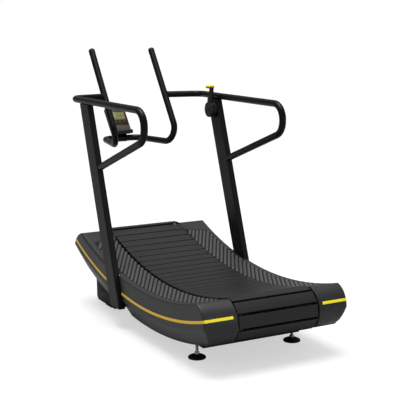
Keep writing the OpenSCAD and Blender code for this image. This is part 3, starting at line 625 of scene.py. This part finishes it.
def cover_shell(bm, top, shoulder_r, open_end, limit, n, side):
    """Outer skin of a cover: its section swept along the arc from the upright's slot to a closed end."""
    a, b, c, d = (WELL_X, top), (SIDE_X, top), (SIDE_X, CREASE), (SIDE_X - TUCK, SKIRT)
    shoulder = round_corner(a, b, c, shoulder_r, 5)
    crease = round_corner(b, c, d, 5.0, 2)
    edge_x = shoulder[0][0]
    stations = 6
    flat = [(WELL_X + (edge_x - WELL_X) * k / stations, top) for k in range(stations)]
    slope = [(c[0] + (d[0] - c[0]) * t, c[1] + (d[1] - c[1]) * t) for t in (0.28, 0.52, 0.76, 1.0)]
    faces = flat + shoulder + [(SIDE_X, y) for y in (34.0, 55.0, 76.0, 98.0, 117.0)] + crease + slope
    sign = 1 if limit is rear_angle else -1

    def point(x, depth, angle):
        return (side * x, *on_arc(depth, angle))

    rows, walls = [], []
    for depth in (top + FLANGE, top + FLANGE / 2):
        end = limit(depth, WELL_X) + sign * FLANGE / (SURFACE_R + depth)
        rows.append([point(WELL_X, depth, t) for t in columns(open_end(depth, WELL_X), end, n)])
    for i, (x, depth) in enumerate(faces):
        inward = CORNER * max(0.0, min(1.0, (i - stations) / (len(shoulder) - 1)))
        end = limit(depth, x) + sign * inward / (SURFACE_R + depth)
        rows.append([point(x, depth, t) for t in columns(open_end(depth, x), end, n)])
        if i >= stations:
            wall = [wall_corner(side, depth, x, u / 5, limit, inward) for u in range(6)]
            inner = x - inward
            wall += [Vector(point(inner + (WELL_X - inner) * k / stations, depth,
                                  limit(depth, inner + (WELL_X - inner) * k / stations)))
                     for k in range(1, stations + 1)]
            wall += [Vector(point(WELL_X, depth, limit(depth, WELL_X) + sign * t / (SURFACE_R + depth)))
                     for t in (FLANGE / 2, FLANGE)]
            walls.append(wall)
    add_grid(bm, rows)
    add_grid(bm, walls)


def slot_bridge(bm, side):
    """The strip of cover between the pad and the upright."""
    ends = slot_angle(BRIDGE_DEPTH, -1), slot_angle(BRIDGE_DEPTH, 1)
    add_grid(bm, [[(side * x, *on_arc(BRIDGE_DEPTH, t)) for t in columns(*ends, 6)]
                  for x in (BRIDGE_X, UPRIGHT_IN - 2.0)])


def side_covers():
    for side, name in ((1, "right"), (-1, "left")):
        bm = bmesh.new()
        cover_shell(bm, REAR_TOP, REAR_SHOULDER, lambda d, x: slot_angle(d, -1), rear_angle, 40, side)
        slot_bridge(bm, side)
        finish_mesh("side_cover_rear_" + name, bm, "cover",
                    nodes=["rear_cover_" + name, "rear_cap_" + name], solid=COVER_WALL, angle=50.0)
        bm = bmesh.new()
        cover_shell(bm, FRONT_TOP, FRONT_SHOULDER, lambda d, x: slot_angle(d, 1), nose_angle, 26, side)
        finish_mesh("side_cover_front_" + name, bm, "cover", nodes=["front_cover_" + name],
                    solid=COVER_WALL, angle=50.0)


# ---- foot pads

PAD_X = (247.5, 394.0)
PAD_REAR_V = -575.0
PAD_BASE, PAD_TOP = 5.9, 2.8
PAD_FLOOR = 10.4
# Each rib's run across and along the machine, its spacing, and the part of its run that it fills
RIB_RUN = (140.0, 247.0)
RIB_PITCH, RIB_FILL = 46.6, 0.965
RIB_HALF, RIB_CREST, RIB_CLEAR = 7.6, 5.4, 12.0
PAD_STEPS = 48


def pad_front_angle(x):
    """The pad's front end slants back towards its outer edge."""
    t = (x - 250.0) / 150.0
    return math.asin((789.0 - 45.0 * t) / SURFACE_R)


def foot_pads():
    rear = math.asin(PAD_REAR_V / SURFACE_R)
    for side, name in ((1, "right"), (-1, "left")):
        bm = bmesh.new()
        xs = [PAD_X[0], PAD_X[0] + 1.2, 300.0, 350.0, PAD_X[1] - 1.5, PAD_X[1]]
        depths = [PAD_BASE + 0.9, PAD_BASE, PAD_BASE, PAD_BASE, PAD_BASE, PAD_BASE + 1.1]
        rows = []
        for x, d in zip(xs, depths):
            rows.append([(side * x, *on_arc(d, t)) for t in columns(rear, pad_front_angle(x), PAD_STEPS)])
        rows = [[(side * PAD_X[0], *on_arc(PAD_FLOOR, t))
                 for t in columns(rear, pad_front_angle(PAD_X[0]), PAD_STEPS)]] + rows
        rows.append([(side * PAD_X[1], *on_arc(PAD_FLOOR, t))
                     for t in columns(rear, pad_front_angle(PAD_X[1]), PAD_STEPS)])
        vs = add_grid(bm, rows)
        under = [vs[-1], vs[0]]
        for i in range(PAD_STEPS):
            bm.faces.new([under[0][i], under[0][i + 1], under[1][i + 1], under[1][i]])
        for column in (0, -1):
            bm.faces.new([row[column] for row in vs])
        # Everything but the ribs gets the darker pad_floor material, a painted shade between the ribs
        for face in bm.faces:
            face.material_index = 1
        # Ribs run the same way on both sides of the machine
        first = SURFACE_R * rear
        last = SURFACE_R * pad_front_angle(PAD_X[0])
        length = math.hypot(*RIB_RUN)
        across_dir = (RIB_RUN[1] / length, -RIB_RUN[0] / length)
        count = int((last - first + RIB_RUN[1]) / RIB_PITCH) + 1
        for i in range(count):
            # s0 is the length along the arc where the rib's line crosses the pad's middle
            s0 = first - RIB_RUN[1] / 2 + (i + 0.5) * RIB_PITCH
            add_pad_rib(bm, side, s0, first, across_dir)
        finish_mesh("foot_pad_ribbed_" + name, bm, "pad_rubber", nodes=["foot_pad_" + name],
                    mats=[MATS["pad_rubber"], MATS["pad_floor"]])


def add_pad_rib(bm, side, s0, first, across_dir):
    """A rounded bar on the pad, cut back where it would leave the pad's ends."""
    mid_x = side * (PAD_X[0] + PAD_X[1]) / 2
    ts = []
    n = 26
    for k in range(n + 1):
        t = -0.5 + k / n
        x = mid_x + RIB_RUN[0] * RIB_FILL * t
        s = s0 + RIB_RUN[1] * RIB_FILL * t
        if first + RIB_CLEAR < s < SURFACE_R * pad_front_angle(abs(x)) - RIB_CLEAR:
            ts.append(t)
    if len(ts) < 4:
        return
    half, crest = RIB_HALF, RIB_CREST
    profile = [(-half, PAD_BASE + 0.4), (-half + 0.5, PAD_TOP + 1.2), (-crest, PAD_TOP + 0.25), (0, PAD_TOP),
               (crest, PAD_TOP + 0.25), (half - 0.5, PAD_TOP + 1.2), (half, PAD_BASE + 0.4)]
    ux, us = RIB_RUN[0] / math.hypot(*RIB_RUN), RIB_RUN[1] / math.hypot(*RIB_RUN)
    path = [(ts[0], -half * 0.9, 0.25), (ts[0], -half * 0.55, 0.75)]
    path += [(t, 0.0, 1.0) for t in (ts[0], *ts[1:-1:3], ts[-1])]
    path += [(ts[-1], half * 0.55, 0.75), (ts[-1], half * 0.9, 0.25)]
    rings = []
    for t, extra, width in path:
        ring = []
        for off, d in profile:
            x = mid_x + RIB_RUN[0] * RIB_FILL * t + ux * extra + across_dir[0] * off * width
            s = s0 + RIB_RUN[1] * RIB_FILL * t + us * extra + across_dir[1] * off * width
            deep = d if width > 0.9 else d + (PAD_BASE + 0.4 - d) * (1 - width) * 0.8
            ring.append(bm.verts.new((x, *on_arc(deep, s / SURFACE_R))))
        rings.append(ring)
    m = len(profile)
    for a, b in zip(rings, rings[1:]):
        for i in range(m - 1):
            bm.faces.new([a[i], a[i + 1], b[i + 1], b[i]])
        bm.faces.new([a[m - 1], a[0], b[0], b[m - 1]])
    bm.faces.new(rings[0])
    bm.faces.new(list(reversed(rings[-1])))


# ---- trim strips

TRIM_DEPTH, TRIM_W = 98.5, 15.0
# Angles where the strips end beside the upright, and how far the others stop from the covers' edges
TRIM_REAR, TRIM_FRONT, TRIM_TIP, TRIM_INNER = math.radians(6.55), math.radians(11.8), 0.0055, 268.6
TAPER = 0.004


def strip(bm, path, normals, half, thick=1.3):
    """A ribbon along a path of (points at a depth offset), standing proud by thick."""
    profile = [(-half, -0.6), (-half, thick * 0.55), (-half + 1.0, thick),
               (half - 1.0, thick), (half, thick * 0.55), (half, -0.6)]
    rings = []
    for make_point, normal in zip(path, normals):
        ring = []
        for off, lift in profile:
            p = Vector(make_point(off)) + Vector(normal) * lift
            ring.append(bm.verts.new(p))
        rings.append(ring)
    m = len(profile)
    for a, b in zip(rings, rings[1:]):
        for i in range(m):
            j = (i + 1) % m
            bm.faces.new([a[i], a[j], b[j], b[i]])
    bm.faces.new(rings[0])
    bm.faces.new(list(reversed(rings[-1])))


def trim():
    bm = bmesh.new()
    half = TRIM_W / 2
    for side in (1, -1):
        # Side of the rear cover, round the corner and along the rear face
        makers, normals = [], []
        back = CORNER / (SURFACE_R + TRIM_DEPTH)
        for k, w in enumerate((0.35, 0.72, 0.9, 0.98, 1.0)):
            t = TRIM_REAR - k * 0.0007
            makers.append(lambda off, t=t, w=w: (side * SIDE_X, *on_arc(TRIM_DEPTH + off * w, t)))
            normals.append((side, 0, 0))
        for u in columns(0.0, 1.0, 60):
            def along(off, u=u):
                depth = TRIM_DEPTH + off
                end = rear_angle(depth, SIDE_X) + back
                return (side * SIDE_X, *on_arc(depth, TRIM_REAR - TAPER + (end - TRIM_REAR + TAPER) * u))
            makers.append(along)
            normals.append((side, 0, 0))
        for k in range(1, 6):
            makers.append(lambda off, u=k / 5: wall_corner(side, TRIM_DEPTH + off, SIDE_X, u,
                                                           rear_angle, CORNER))
            normals.append(Vector((side * (1 - k / 5), -k / 5, 0.1 * k / 5)).normalized())
        for x in columns(SIDE_X - CORNER - 2.0, TRIM_INNER, 12):
            makers.append(lambda off, x=x: (side * x, *on_arc(TRIM_DEPTH + off,
                                                              rear_angle(TRIM_DEPTH + off, x))))
            normals.append(Vector((side * 0.076, -0.98, 0.17)).normalized())
        strip(bm, makers, normals, half)
        # Side of the front cover
        makers, normals = [], []
        for u in columns(0.0, 1.0, 30):
            def ahead(off, u=u):
                depth = TRIM_DEPTH + off
                end = nose_angle(depth) - TRIM_TIP
                return (side * SIDE_X, *on_arc(depth, TRIM_FRONT + (end - TRIM_FRONT) * u))
            makers.append(ahead)
            normals.append((side, 0, 0))
        strip(bm, makers, normals, half)
    # Faces on the covers' sides take the darker golden copy of the yellow: painted shade
    for face in bm.faces:
        if abs(face.calc_center_median().x) > SIDE_X - CORNER / 2:
            face.material_index = 1
    finish_mesh("trim_strips_shaped", bm, "yellow", nodes=["trim_strips"],
                mats=[MATS["yellow"], MATS["yellow_shaded_side"]])


# ---- rails and bars


def v_point(x, v, z):
    return (x, V0 + v, z)


RAIL_Z, CROSSBAR_Z = 1275.0, 981.0
RAIL_R, BAR_R = 20.0, 20.0
# How far the weld beads sit behind the tubes' hidden ends
LOW_WELD, FRONT_WELD = 52.0, 6.0
BAR_TOP, BAR_ELBOW, BAR_CORNER = (209, 1175, 1548), (209, 775, CROSSBAR_Z + 1), (119, 1205, CROSSBAR_Z)


def rails():
    for side, name in ((1, "right"), (-1, "left")):
        points = [v_point(side * 224, 982, RAIL_Z - 1), v_point(side * 441, 925, RAIL_Z),
                  v_point(side * 433, -62, RAIL_Z), v_point(side * 433, -60, RAIL_Z - 157),
                  v_point(side * 432, 597, 882)]
        path = fillet_path(points, [77, 88, 88], 3.0)
        # The lower end stops inside the upright, the front end inside the handle
        path[-1] = path[-2] + (path[-1] - path[-2]) * 0.985
        path = dense(path)
        bm = bmesh.new()
        tube(bm, path, RAIL_R, 48)
        weld(bm, path[-1], (path[-1] - path[-2]).normalized(), RAIL_R, LOW_WELD)
        weld(bm, path[0], (path[0] - path[1]).normalized(), RAIL_R, FRONT_WELD)
        finish_mesh("handrail_tube_" + name, bm, "rail_black", nodes=["handrail_" + name])
    right = [v_point(*BAR_CORNER), v_point(*BAR_ELBOW), v_point(*BAR_TOP)]
    left = [v_point(-p[0], p[1], p[2]) for p in (BAR_TOP, BAR_ELBOW, BAR_CORNER)]
    path = dense(fillet_path(left + right, [79, 61, 61, 79], 3.0))
    bm = bmesh.new()
    tube(bm, path, BAR_R, 48)
    finish_mesh("handlebar_tube", bm, "rail_black", nodes=["handlebar"])
    bm = bmesh.new()
    for side in (1, -1):
        top = Vector(v_point(side * BAR_TOP[0], BAR_TOP[1], BAR_TOP[2]))
        low = Vector(v_point(side * BAR_ELBOW[0], BAR_ELBOW[1], BAR_ELBOW[2]))
        d = (top - low).normalized()
        m = Matrix.Translation(top) @ d.to_track_quat("Z", "Y").to_matrix().to_4x4()
        dome = [(0.0, -18.0), (16.8, -18.0), (17.0, -0.5), (20.1, -0.5), (20.35, 0.4), (20.3, 2.0)]
        dome += [(20.2 * math.cos(math.radians(a)), 2.0 + 16.5 * math.sin(math.radians(a)))
                 for a in (12, 24, 36, 48, 60, 72, 82)]
        dome.append((0.0, 18.5))
        lathe(bm, dome, m, 48)
    finish_mesh("handlebar_end_plugs", bm, "plug", nodes=["handlebar_plugs"])


def weld(bm, at, d, r, back):
    """A rounded bead round a tube, a little before its hidden end."""
    c = Vector(at) - d * back
    m = Matrix.Translation(c) @ d.to_track_quat("Z", "Y").to_matrix().to_4x4()
    steps, around = 48, 8
    rings = []
    for i in range(steps):
        a = 2 * math.pi * i / steps
        ripple = 2.0 + 0.25 * math.sin(9 * a)
        rings.append([bm.verts.new(m @ Vector(((r + ripple * math.cos(b) * 0.8) * math.cos(a),
                                               (r + ripple * math.cos(b) * 0.8) * math.sin(a),
                                               ripple * math.sin(b))))
                      for b in [2 * math.pi * k / around for k in range(around)]])
    for i in range(steps):
        for k in range(around):
            j, l = (i + 1) % steps, (k + 1) % around
            bm.faces.new([rings[i][k], rings[j][k], rings[j][l], rings[i][l]])


# ---- console

CONSOLE_LEAN = math.radians(39)
CONSOLE_W, CONSOLE_LEN, SHELL_T, CHIN_R, CHIN_OUT, CHIN_DROP = 136.0, 200.0, 30.0, 14.0, 10.0, 6.0
CONSOLE = (Matrix.Translation(v_point(0, 1188, 1024.5))
           @ Matrix.Rotation(math.radians(90) - CONSOLE_LEAN, 4, "X"))
BUTTONS = {"up": (6, 80, 0), "down": (6, 50, 180), "left": (-26, 78, 90), "right": (38, 78, -90)}
SCREEN = (-52, 94, 104, 60)


def round_outline(x0, y0, x1, y1, radii, steps=6):
    """Counter-clockwise outline of a rectangle with a radius per corner: lower left, lower right, upper right,
    upper left."""
    out = []
    corners = [(x0, y0, 180, 1, 1), (x1, y0, 270, -1, 1), (x1, y1, 0, -1, -1), (x0, y1, 90, 1, -1)]
    for (x, y, a0, sx, sy), r in zip(corners, radii):
        if r <= 0:
            out.append((x, y))
            continue
        for k in range(steps + 1):
            a = math.radians(a0 + 90 * k / steps)
            out.append((x + sx * r + r * math.cos(a), y + sy * r + r * math.sin(a)))
    return out


def plate(bm, outline, z0, z1, r, matrix, segments=3):
    """A flat plate of an outline between two heights, with a rounded upper rim."""
    cx = sum(p[0] for p in outline) / len(outline)
    cy = sum(p[1] for p in outline) / len(outline)
    half_w = max(abs(p[0] - cx) for p in outline)
    half_h = max(abs(p[1] - cy) for p in outline)
    levels = [(z0, 0.0)]
    for k in range(segments + 1):
        a = math.radians(90 * k / segments)
        levels.append((z1 - r + r * math.sin(a), r * (1 - math.cos(a))))
    rings = []
    for z, inset in levels:
        rings.append([bm.verts.new(matrix @ Vector((cx + (p[0] - cx) * (1 - inset / half_w),
                                                    cy + (p[1] - cy) * (1 - inset / half_h), z)))
                      for p in outline])
    n = len(outline)
    for a, b in zip(rings, rings[1:]):
        for i in range(n):
            j = (i + 1) % n
            bm.faces.new([a[i], a[j], b[j], b[i]])
    bm.faces.new(list(reversed(rings[0])))
    bm.faces.new(rings[-1])


def console():
    w = CONSOLE_W / 2
    bm = bmesh.new()
    outline = round_outline(-w, 0, w, CONSOLE_LEN, (4, 4, 14, 14))
    plate(bm, outline, -SHELL_T, 0.0, 4.0, CONSOLE, 4)
    # Raised rim round the screen and keys
    tube_path = [CONSOLE @ Vector((x, y, -0.6)) for x, y in round_outline(-w + 7, 52, w - 7, CONSOLE_LEN - 8,
                                                                          (5, 5, 9, 9))]
    tube_path.append(tube_path[0])
    tube(bm, tube_path, 1.7, 10, close=False)
    # Bar along the lower edge, with rounded ends
    bar = Matrix.Translation((0, 0, 0)) @ CONSOLE @ Matrix.Translation((-w, -CHIN_DROP, CHIN_OUT)) @ \
        Matrix.Rotation(math.radians(90), 4, "Y")
    r = CHIN_R
    profile = [(0, 0), (r - 6, 0), (r - 2.2, 1.2), (r - 0.5, 4), (r, 8), (r, CONSOLE_W / 2), (r, CONSOLE_W - 8),
               (r - 0.5, CONSOLE_W - 4), (r - 2.2, CONSOLE_W - 1.2), (r - 6, CONSOLE_W), (0, CONSOLE_W)]
    lathe(bm, profile, bar, 48)
    finish_mesh("console_shell", bm, "console_black", nodes=["console_housing"])
    bm = bmesh.new()
    plate(bm, round_outline(-w + 8.5, 53.5, w - 8.5, CONSOLE_LEN - 9.5, (4, 4, 8, 8)),
          -0.5, 1.0, 0.5, CONSOLE, 2)
    finish_mesh("console_window", bm, "console_black", mats=[MATS["window"]])
    bm = bmesh.new()
    plate(bm, round_outline(-w + 6, 12, w - 6, 50, (3, 3, 3, 3)), -0.5, 1.1, 0.5, CONSOLE, 2)
    finish_mesh("console_lower_panel", bm, "console_black", mats=[MATS["panel"]])
    x, y, sw, sh = SCREEN
    bm = bmesh.new()
    plate(bm, round_outline(x, y, x + sw, y + sh, (2, 2, 2, 2)), -5.0, 1.7, 0.4, CONSOLE, 2)
    finish_mesh("console_display", bm, "lcd", nodes=["console_screen"])
    # Faint cells of the display
    bm = bmesh.new()
    for row in range(2):
        for column in range(4):
            cx = x + 9 + column * 23.5
            cy = y + 7 + row * 26
            plate(bm, round_outline(cx, cy, cx + 17, cy + 19, (1, 1, 1, 1)), 1.5, 1.85, 0.1, CONSOLE, 1)
    finish_mesh("console_display_cells", bm, "lcd", mats=[MATS["segment"]])
    for key, (kx, ky, turn) in BUTTONS.items():
        bm = bmesh.new()
        m = CONSOLE @ Matrix.Translation((kx, ky, 0))
        lathe(bm, [(0, -6), (6.6, -6), (6.6, 1.2), (6.2, 2.0), (5.4, 2.3), (0, 2.4)], m, 40)
        arrow = m @ Matrix.Rotation(math.radians(turn), 4, "Z")
        tri = [(-4.0, -2.6), (4.0, -2.6), (0.0, 4.2)]
        plate(bm, tri, 2.2, 3.0, 0.4, arrow, 2)
        finish_mesh("key_" + key, bm, "key", key + "_key", ["button_" + key])


# ---- resistance lever


CAP_LIFT, CAP_X, LEVER_LEAN = 149.0, 380.5, 6.0


def lever():
    m = across(*LEVER)
    bm = bmesh.new()
    lathe(bm, [(0, 395.6), (48, 395.6), (50.5, 396.4), (52, 398.6), (52, 413), (51, 415.8), (0, 415.9)], m, 72)
    finish_mesh("lever_base_disc", bm, "console_black", nodes=["lever_housing"])
    bm = bmesh.new()
    lathe(bm, [(0, 373.4), (9, 373.4), (10, 374.4), (36, 374.4), (37.2, 375.4), (39.6, 375.4), (40.8, 374.4),
               (44.6, 374.6), (47.2, 376), (48, 378.8), (48, 393), (47, 394.9), (0, 395.0)], m, 72)
    tilt = across(*LEVER, turn=math.radians(180 + LEVER_LEAN))
    # Local X of the tilted frame points up the neck
    rounded_box(bm, (30, -18.5, 375), (80, 18.5, 394), 5.0, 3, tilt)
    rounded_box(bm, (56, -10, 380), (CAP_LIFT - 8, 10, 404), 3.5, 3, tilt)
    lay = tilt @ Matrix(((0, 0, 1, 0), (1, 0, 0, 0), (0, 1, 0, 0), (0, 0, 0, 1)))
    lip = round_outline(-13.5, CAP_X - 25.5, 13.5, CAP_X + 25.5, (9, 9, 9, 9), 8)
    plate(bm, lip, CAP_LIFT - 13, CAP_LIFT - 6.1, 2.0, lay, 3)
    finish_mesh("lever_disc_and_neck", bm, "console_black", "lever", ["lever_arm"])
    bm = bmesh.new()
    cap = round_outline(-15, CAP_X - 27.5, 15, CAP_X + 27.5, (10, 10, 10, 10), 8)
    plate(bm, cap, CAP_LIFT - 6, CAP_LIFT + 4, 3.5, lay, 5)
    finish_mesh("lever_cap_moulded", bm, "yellow", "lever", ["lever_cap"])


# ---- legs and feet

LEG_X, LEG_W, LEG_V, LEG_TOP, LEG_CORNER, LEG_FOOT = 300.0, 68.0, (600.0, 868.0), 176.0, 30.0, 18.0
BOX_WALL = 3.5
FOOT_X, REAR_FOOT_V, FOOT_R = 297.5, -390.0, 47.5


def legs_and_feet():
    bm = bmesh.new()
    for side in (1, -1):
        outline = [(LEG_V[0], LEG_TOP), (LEG_V[0], LEG_FOOT)]
        for k in range(9):
            a = math.radians(-90 + 90 * k / 8)
            outline.append((LEG_V[1] - LEG_CORNER + LEG_CORNER * math.cos(a),
                            LEG_FOOT + LEG_CORNER + LEG_CORNER * math.sin(a)))
        outline.append((LEG_V[1] + 8, LEG_TOP))
        lo, hi = LEG_X - LEG_W / 2, LEG_X + LEG_W / 2
        r = 4.0
        cv = sum(p[0] for p in outline) / len(outline)
        levels = [(lo, r), (lo + r * 0.3, r * 0.3), (lo + r, 0), (hi - r, 0), (hi - r * 0.3, r * 0.3), (hi, r)]
        rings = []
        for x, inset in levels:
            ring = []
            for v, z in outline:
                dv = math.copysign(inset, cv - v)
                dz = inset if z < 60 else 0.0
                ring.append(bm.verts.new((side * x, V0 + v + (dv if abs(v - cv) > 60 else 0), z + dz)))
            rings.append(ring)
        n = len(outline)
        for a, b in zip(rings, rings[1:]):
            for i in range(n - 1):
                bm.faces.new([a[i], a[i + 1], b[i + 1], b[i]])
        bm.faces.new(rings[0])
        bm.faces.new(list(reversed(rings[-1])))
    finish_mesh("front_leg_boxes", bm, "powder_black", nodes=["front_legs"], solid=BOX_WALL)
    bm = bmesh.new()
    for side in (1, -1):
        x = side * LEG_X
        rounded_box(bm, (x - 15, V0 + 690, 0), (x + 15, V0 + 778, 17.9), 2.5, 3)
        for k in range(5):
            y = V0 + 698 + 16 * k
            rounded_box(bm, (x - 15.8, y, 1.5), (x + 15.8, y + 8, 15), 0.8, 1)
    finish_mesh("front_foot_blocks", bm, "foot_rubber", nodes=["front_feet"])
    for side, name in ((1, "right"), (-1, "left")):
        bm = bmesh.new()
        m = Matrix.Translation(v_point(side * FOOT_X, REAR_FOOT_V, 0))
        lathe(bm, [(0, 0), (FOOT_R - 3, 0), (FOOT_R - 0.6, 1.0), (FOOT_R, 3), (FOOT_R, 8), (FOOT_R - 0.8, 9.6),
                   (FOOT_R - 6, 13.2), (30, 18.5), (19, 20.6), (17.5, 21.8), (0, 22)], m, 72)
        finish_mesh("levelling_foot_" + name, bm, "foot_rubber", name + "_foot", ["rear_foot_" + name])
        bm = bmesh.new()
        hexagon(bm, m, 15.0, 21.9, 33.0)
        turns = []
        for k in range(0, 16 * 14 + 1):
            turns.append((7.9 if k % 4 < 2 else 7.0, 33.0 + k * (134.0 - 33.0) / (16 * 14)))
        lathe(bm, [(0, 30)] + [(7.9, 30)] + turns + [(0, 134.0)], m, 32)
        finish_mesh("levelling_stem_" + name, bm, "zinc", name + "_foot", ["foot_stem_" + name])
    bm = bmesh.new()
    for side in (1, -1):
        m = Matrix.Translation(v_point(side * FOOT_X, REAR_FOOT_V, 0))
        hexagon(bm, m, 15.0, 82.9, 94.8)
    finish_mesh("levelling_nuts", bm, "zinc", nodes=["foot_nuts"])


def hexagon(bm, m, r, z0, z1):
    """A nut's outline with chamfered corners."""
    steps = 48
    rings = []
    for z, cut in ((z0, 1.4), (z0 + 1.4, 0.0), (z1 - 1.4, 0.0), (z1, 1.4)):
        ring = []
        for i in range(steps):
            a = 2 * math.pi * i / steps
            k = (math.degrees(a) % 60) - 30
            flat = r * math.cos(math.radians(30)) / math.cos(math.radians(k))
            rr = min(flat, r - cut)
            ring.append(bm.verts.new(m @ Vector((rr * math.cos(a), rr * math.sin(a), z))))
        rings.append(ring)
    for a, b in zip(rings, rings[1:]):
        for i in range(steps):
            j = (i + 1) % steps
            bm.faces.new([a[i], a[j], b[j], b[i]])
    bm.faces.new(list(reversed(rings[0])))
    bm.faces.new(rings[-1])


# ---- CAD parts that stay

def carry_over():
    slots = {s["node"]: s["material_slot"] for s in frame["record"]["subparts"]}
    for name, obj in frame["nodes"].items():
        mat = MATS[slots[name]]
        obj.data.materials.clear()
        obj.data.materials.append(mat)


# ---- stage


FLOOR_HALF = 40.0
# Focal length in widths of the picture, place in metres with y from the surface's low point, tilt and turn
FOCAL, SENSOR = 1018.1 / 416.0, 36.0
CAMERA_AT, CAMERA_TILT, CAMERA_TURN = (-2.7201, -4.8963, 1.7567), 79.422, -28.909


def stage():
    bm = bmesh.new()
    bmesh.ops.create_grid(bm, x_segments=4, y_segments=4, size=FLOOR_HALF)
    me = bpy.data.meshes.new("floor")
    bm.to_mesh(me)
    bm.free()
    floor = bpy.data.objects.new("floor", me)
    bpy.context.scene.collection.objects.link(floor)
    n = Nodes("floor")
    ray = n.add("ShaderNodeLightPath")
    pale = n.ramp(n.noise(3.0), (0.42, 0.42, 0.42, 1), (0.44, 0.44, 0.44, 1))
    n.link(n.mix(ray.outputs["Is Camera Ray"], (0.52, 0.52, 0.52, 1), pale), n.bsdf.inputs["Base Color"])
    n.bsdf.inputs["Emission Color"].default_value = (1, 1, 1, 1)
    # Part of the floor's white is its own, so that the shadows stay pale to the camera
    n.link(n.span(ray.outputs["Is Camera Ray"], 0.0, 0.57), n.bsdf.inputs["Emission Strength"])
    n.bsdf.inputs["Roughness"].default_value = 0.6
    n.bsdf.inputs["Specular IOR Level"].default_value = 0.2
    me.materials.append(n.mat)

    world = bpy.data.worlds.new("studio")
    bpy.context.scene.world = world
    world.use_nodes = True
    nodes, links = world.node_tree.nodes, world.node_tree.links
    seen = nodes["Background"]
    seen.inputs["Color"].default_value = (1, 1, 1, 1)
    lit = nodes.new("ShaderNodeBackground")
    up = nodes.new("ShaderNodeSeparateXYZ")
    links.new(nodes.new("ShaderNodeTexCoord").outputs["Generated"], up.inputs[0])
    fade = nodes.new("ShaderNodeMapRange")
    fade.inputs["From Min"].default_value = -0.05
    fade.inputs["From Max"].default_value = 0.9
    fade.inputs["To Min"].default_value = 0.1
    fade.inputs["To Max"].default_value = 0.8
    links.new(up.outputs["Z"], fade.inputs["Value"])
    links.new(fade.outputs["Result"], lit.inputs["Strength"])
    choose = nodes.new("ShaderNodeMixShader")
    links.new(nodes.new("ShaderNodeLightPath").outputs["Is Camera Ray"], choose.inputs[0])
    links.new(lit.outputs[0], choose.inputs[1])
    links.new(seen.outputs[0], choose.inputs[2])
    links.new(choose.outputs[0], nodes["World Output"].inputs["Surface"])
    sun = bpy.data.lights.new("overhead", "SUN")
    sun.energy = 2.0
    sun.angle = math.radians(34)
    o = bpy.data.objects.new("overhead", sun)
    bpy.context.scene.collection.objects.link(o)
    o.rotation_euler = (math.radians(-4), math.radians(-2), 0)

    def area(name, at, target, size, size_y, power):
        light = bpy.data.lights.new(name, "AREA")
        light.shape = "RECTANGLE"
        light.size, light.size_y = size, size_y
        light.energy = power
        o = bpy.data.objects.new(name, light)
        bpy.context.scene.collection.objects.link(o)
        o.location = at
        o.rotation_euler = (Vector(target) - Vector(at)).to_track_quat("-Z", "Y").to_euler()

    area("top_softbox", (-0.4, 0.2, 4.2), (0, 0, 0.4), 2.4, 3.2, 60)
    area("left_softbox", (-4.2, -1.6, 2.6), (0, 0, 0.7), 1.2, 2.6, 7)
    area("rear_softbox", (1.2, -4.6, 1.6), (0, -0.6, 0.5), 1.2, 1.2, 22)

    cam = bpy.data.cameras.new("camera")
    cam.sensor_width = SENSOR
    cam.lens = FOCAL * SENSOR
    cam.clip_end = 100.0
    o = bpy.data.objects.new("camera", cam)
    bpy.context.scene.collection.objects.link(o)
    o.location = (CAMERA_AT[0], CAMERA_AT[1] + V0 * MM, CAMERA_AT[2])
    o.rotation_euler = (math.radians(CAMERA_TILT), 0, math.radians(CAMERA_TURN))
    bpy.context.scene.camera = o
    view = bpy.context.scene.view_settings
    view.view_transform = "Standard"
    view.look = "None"


carry_over()
belt()
side_covers()
foot_pads()
trim()
rails()
console()
lever()
legs_and_feet()
stage()
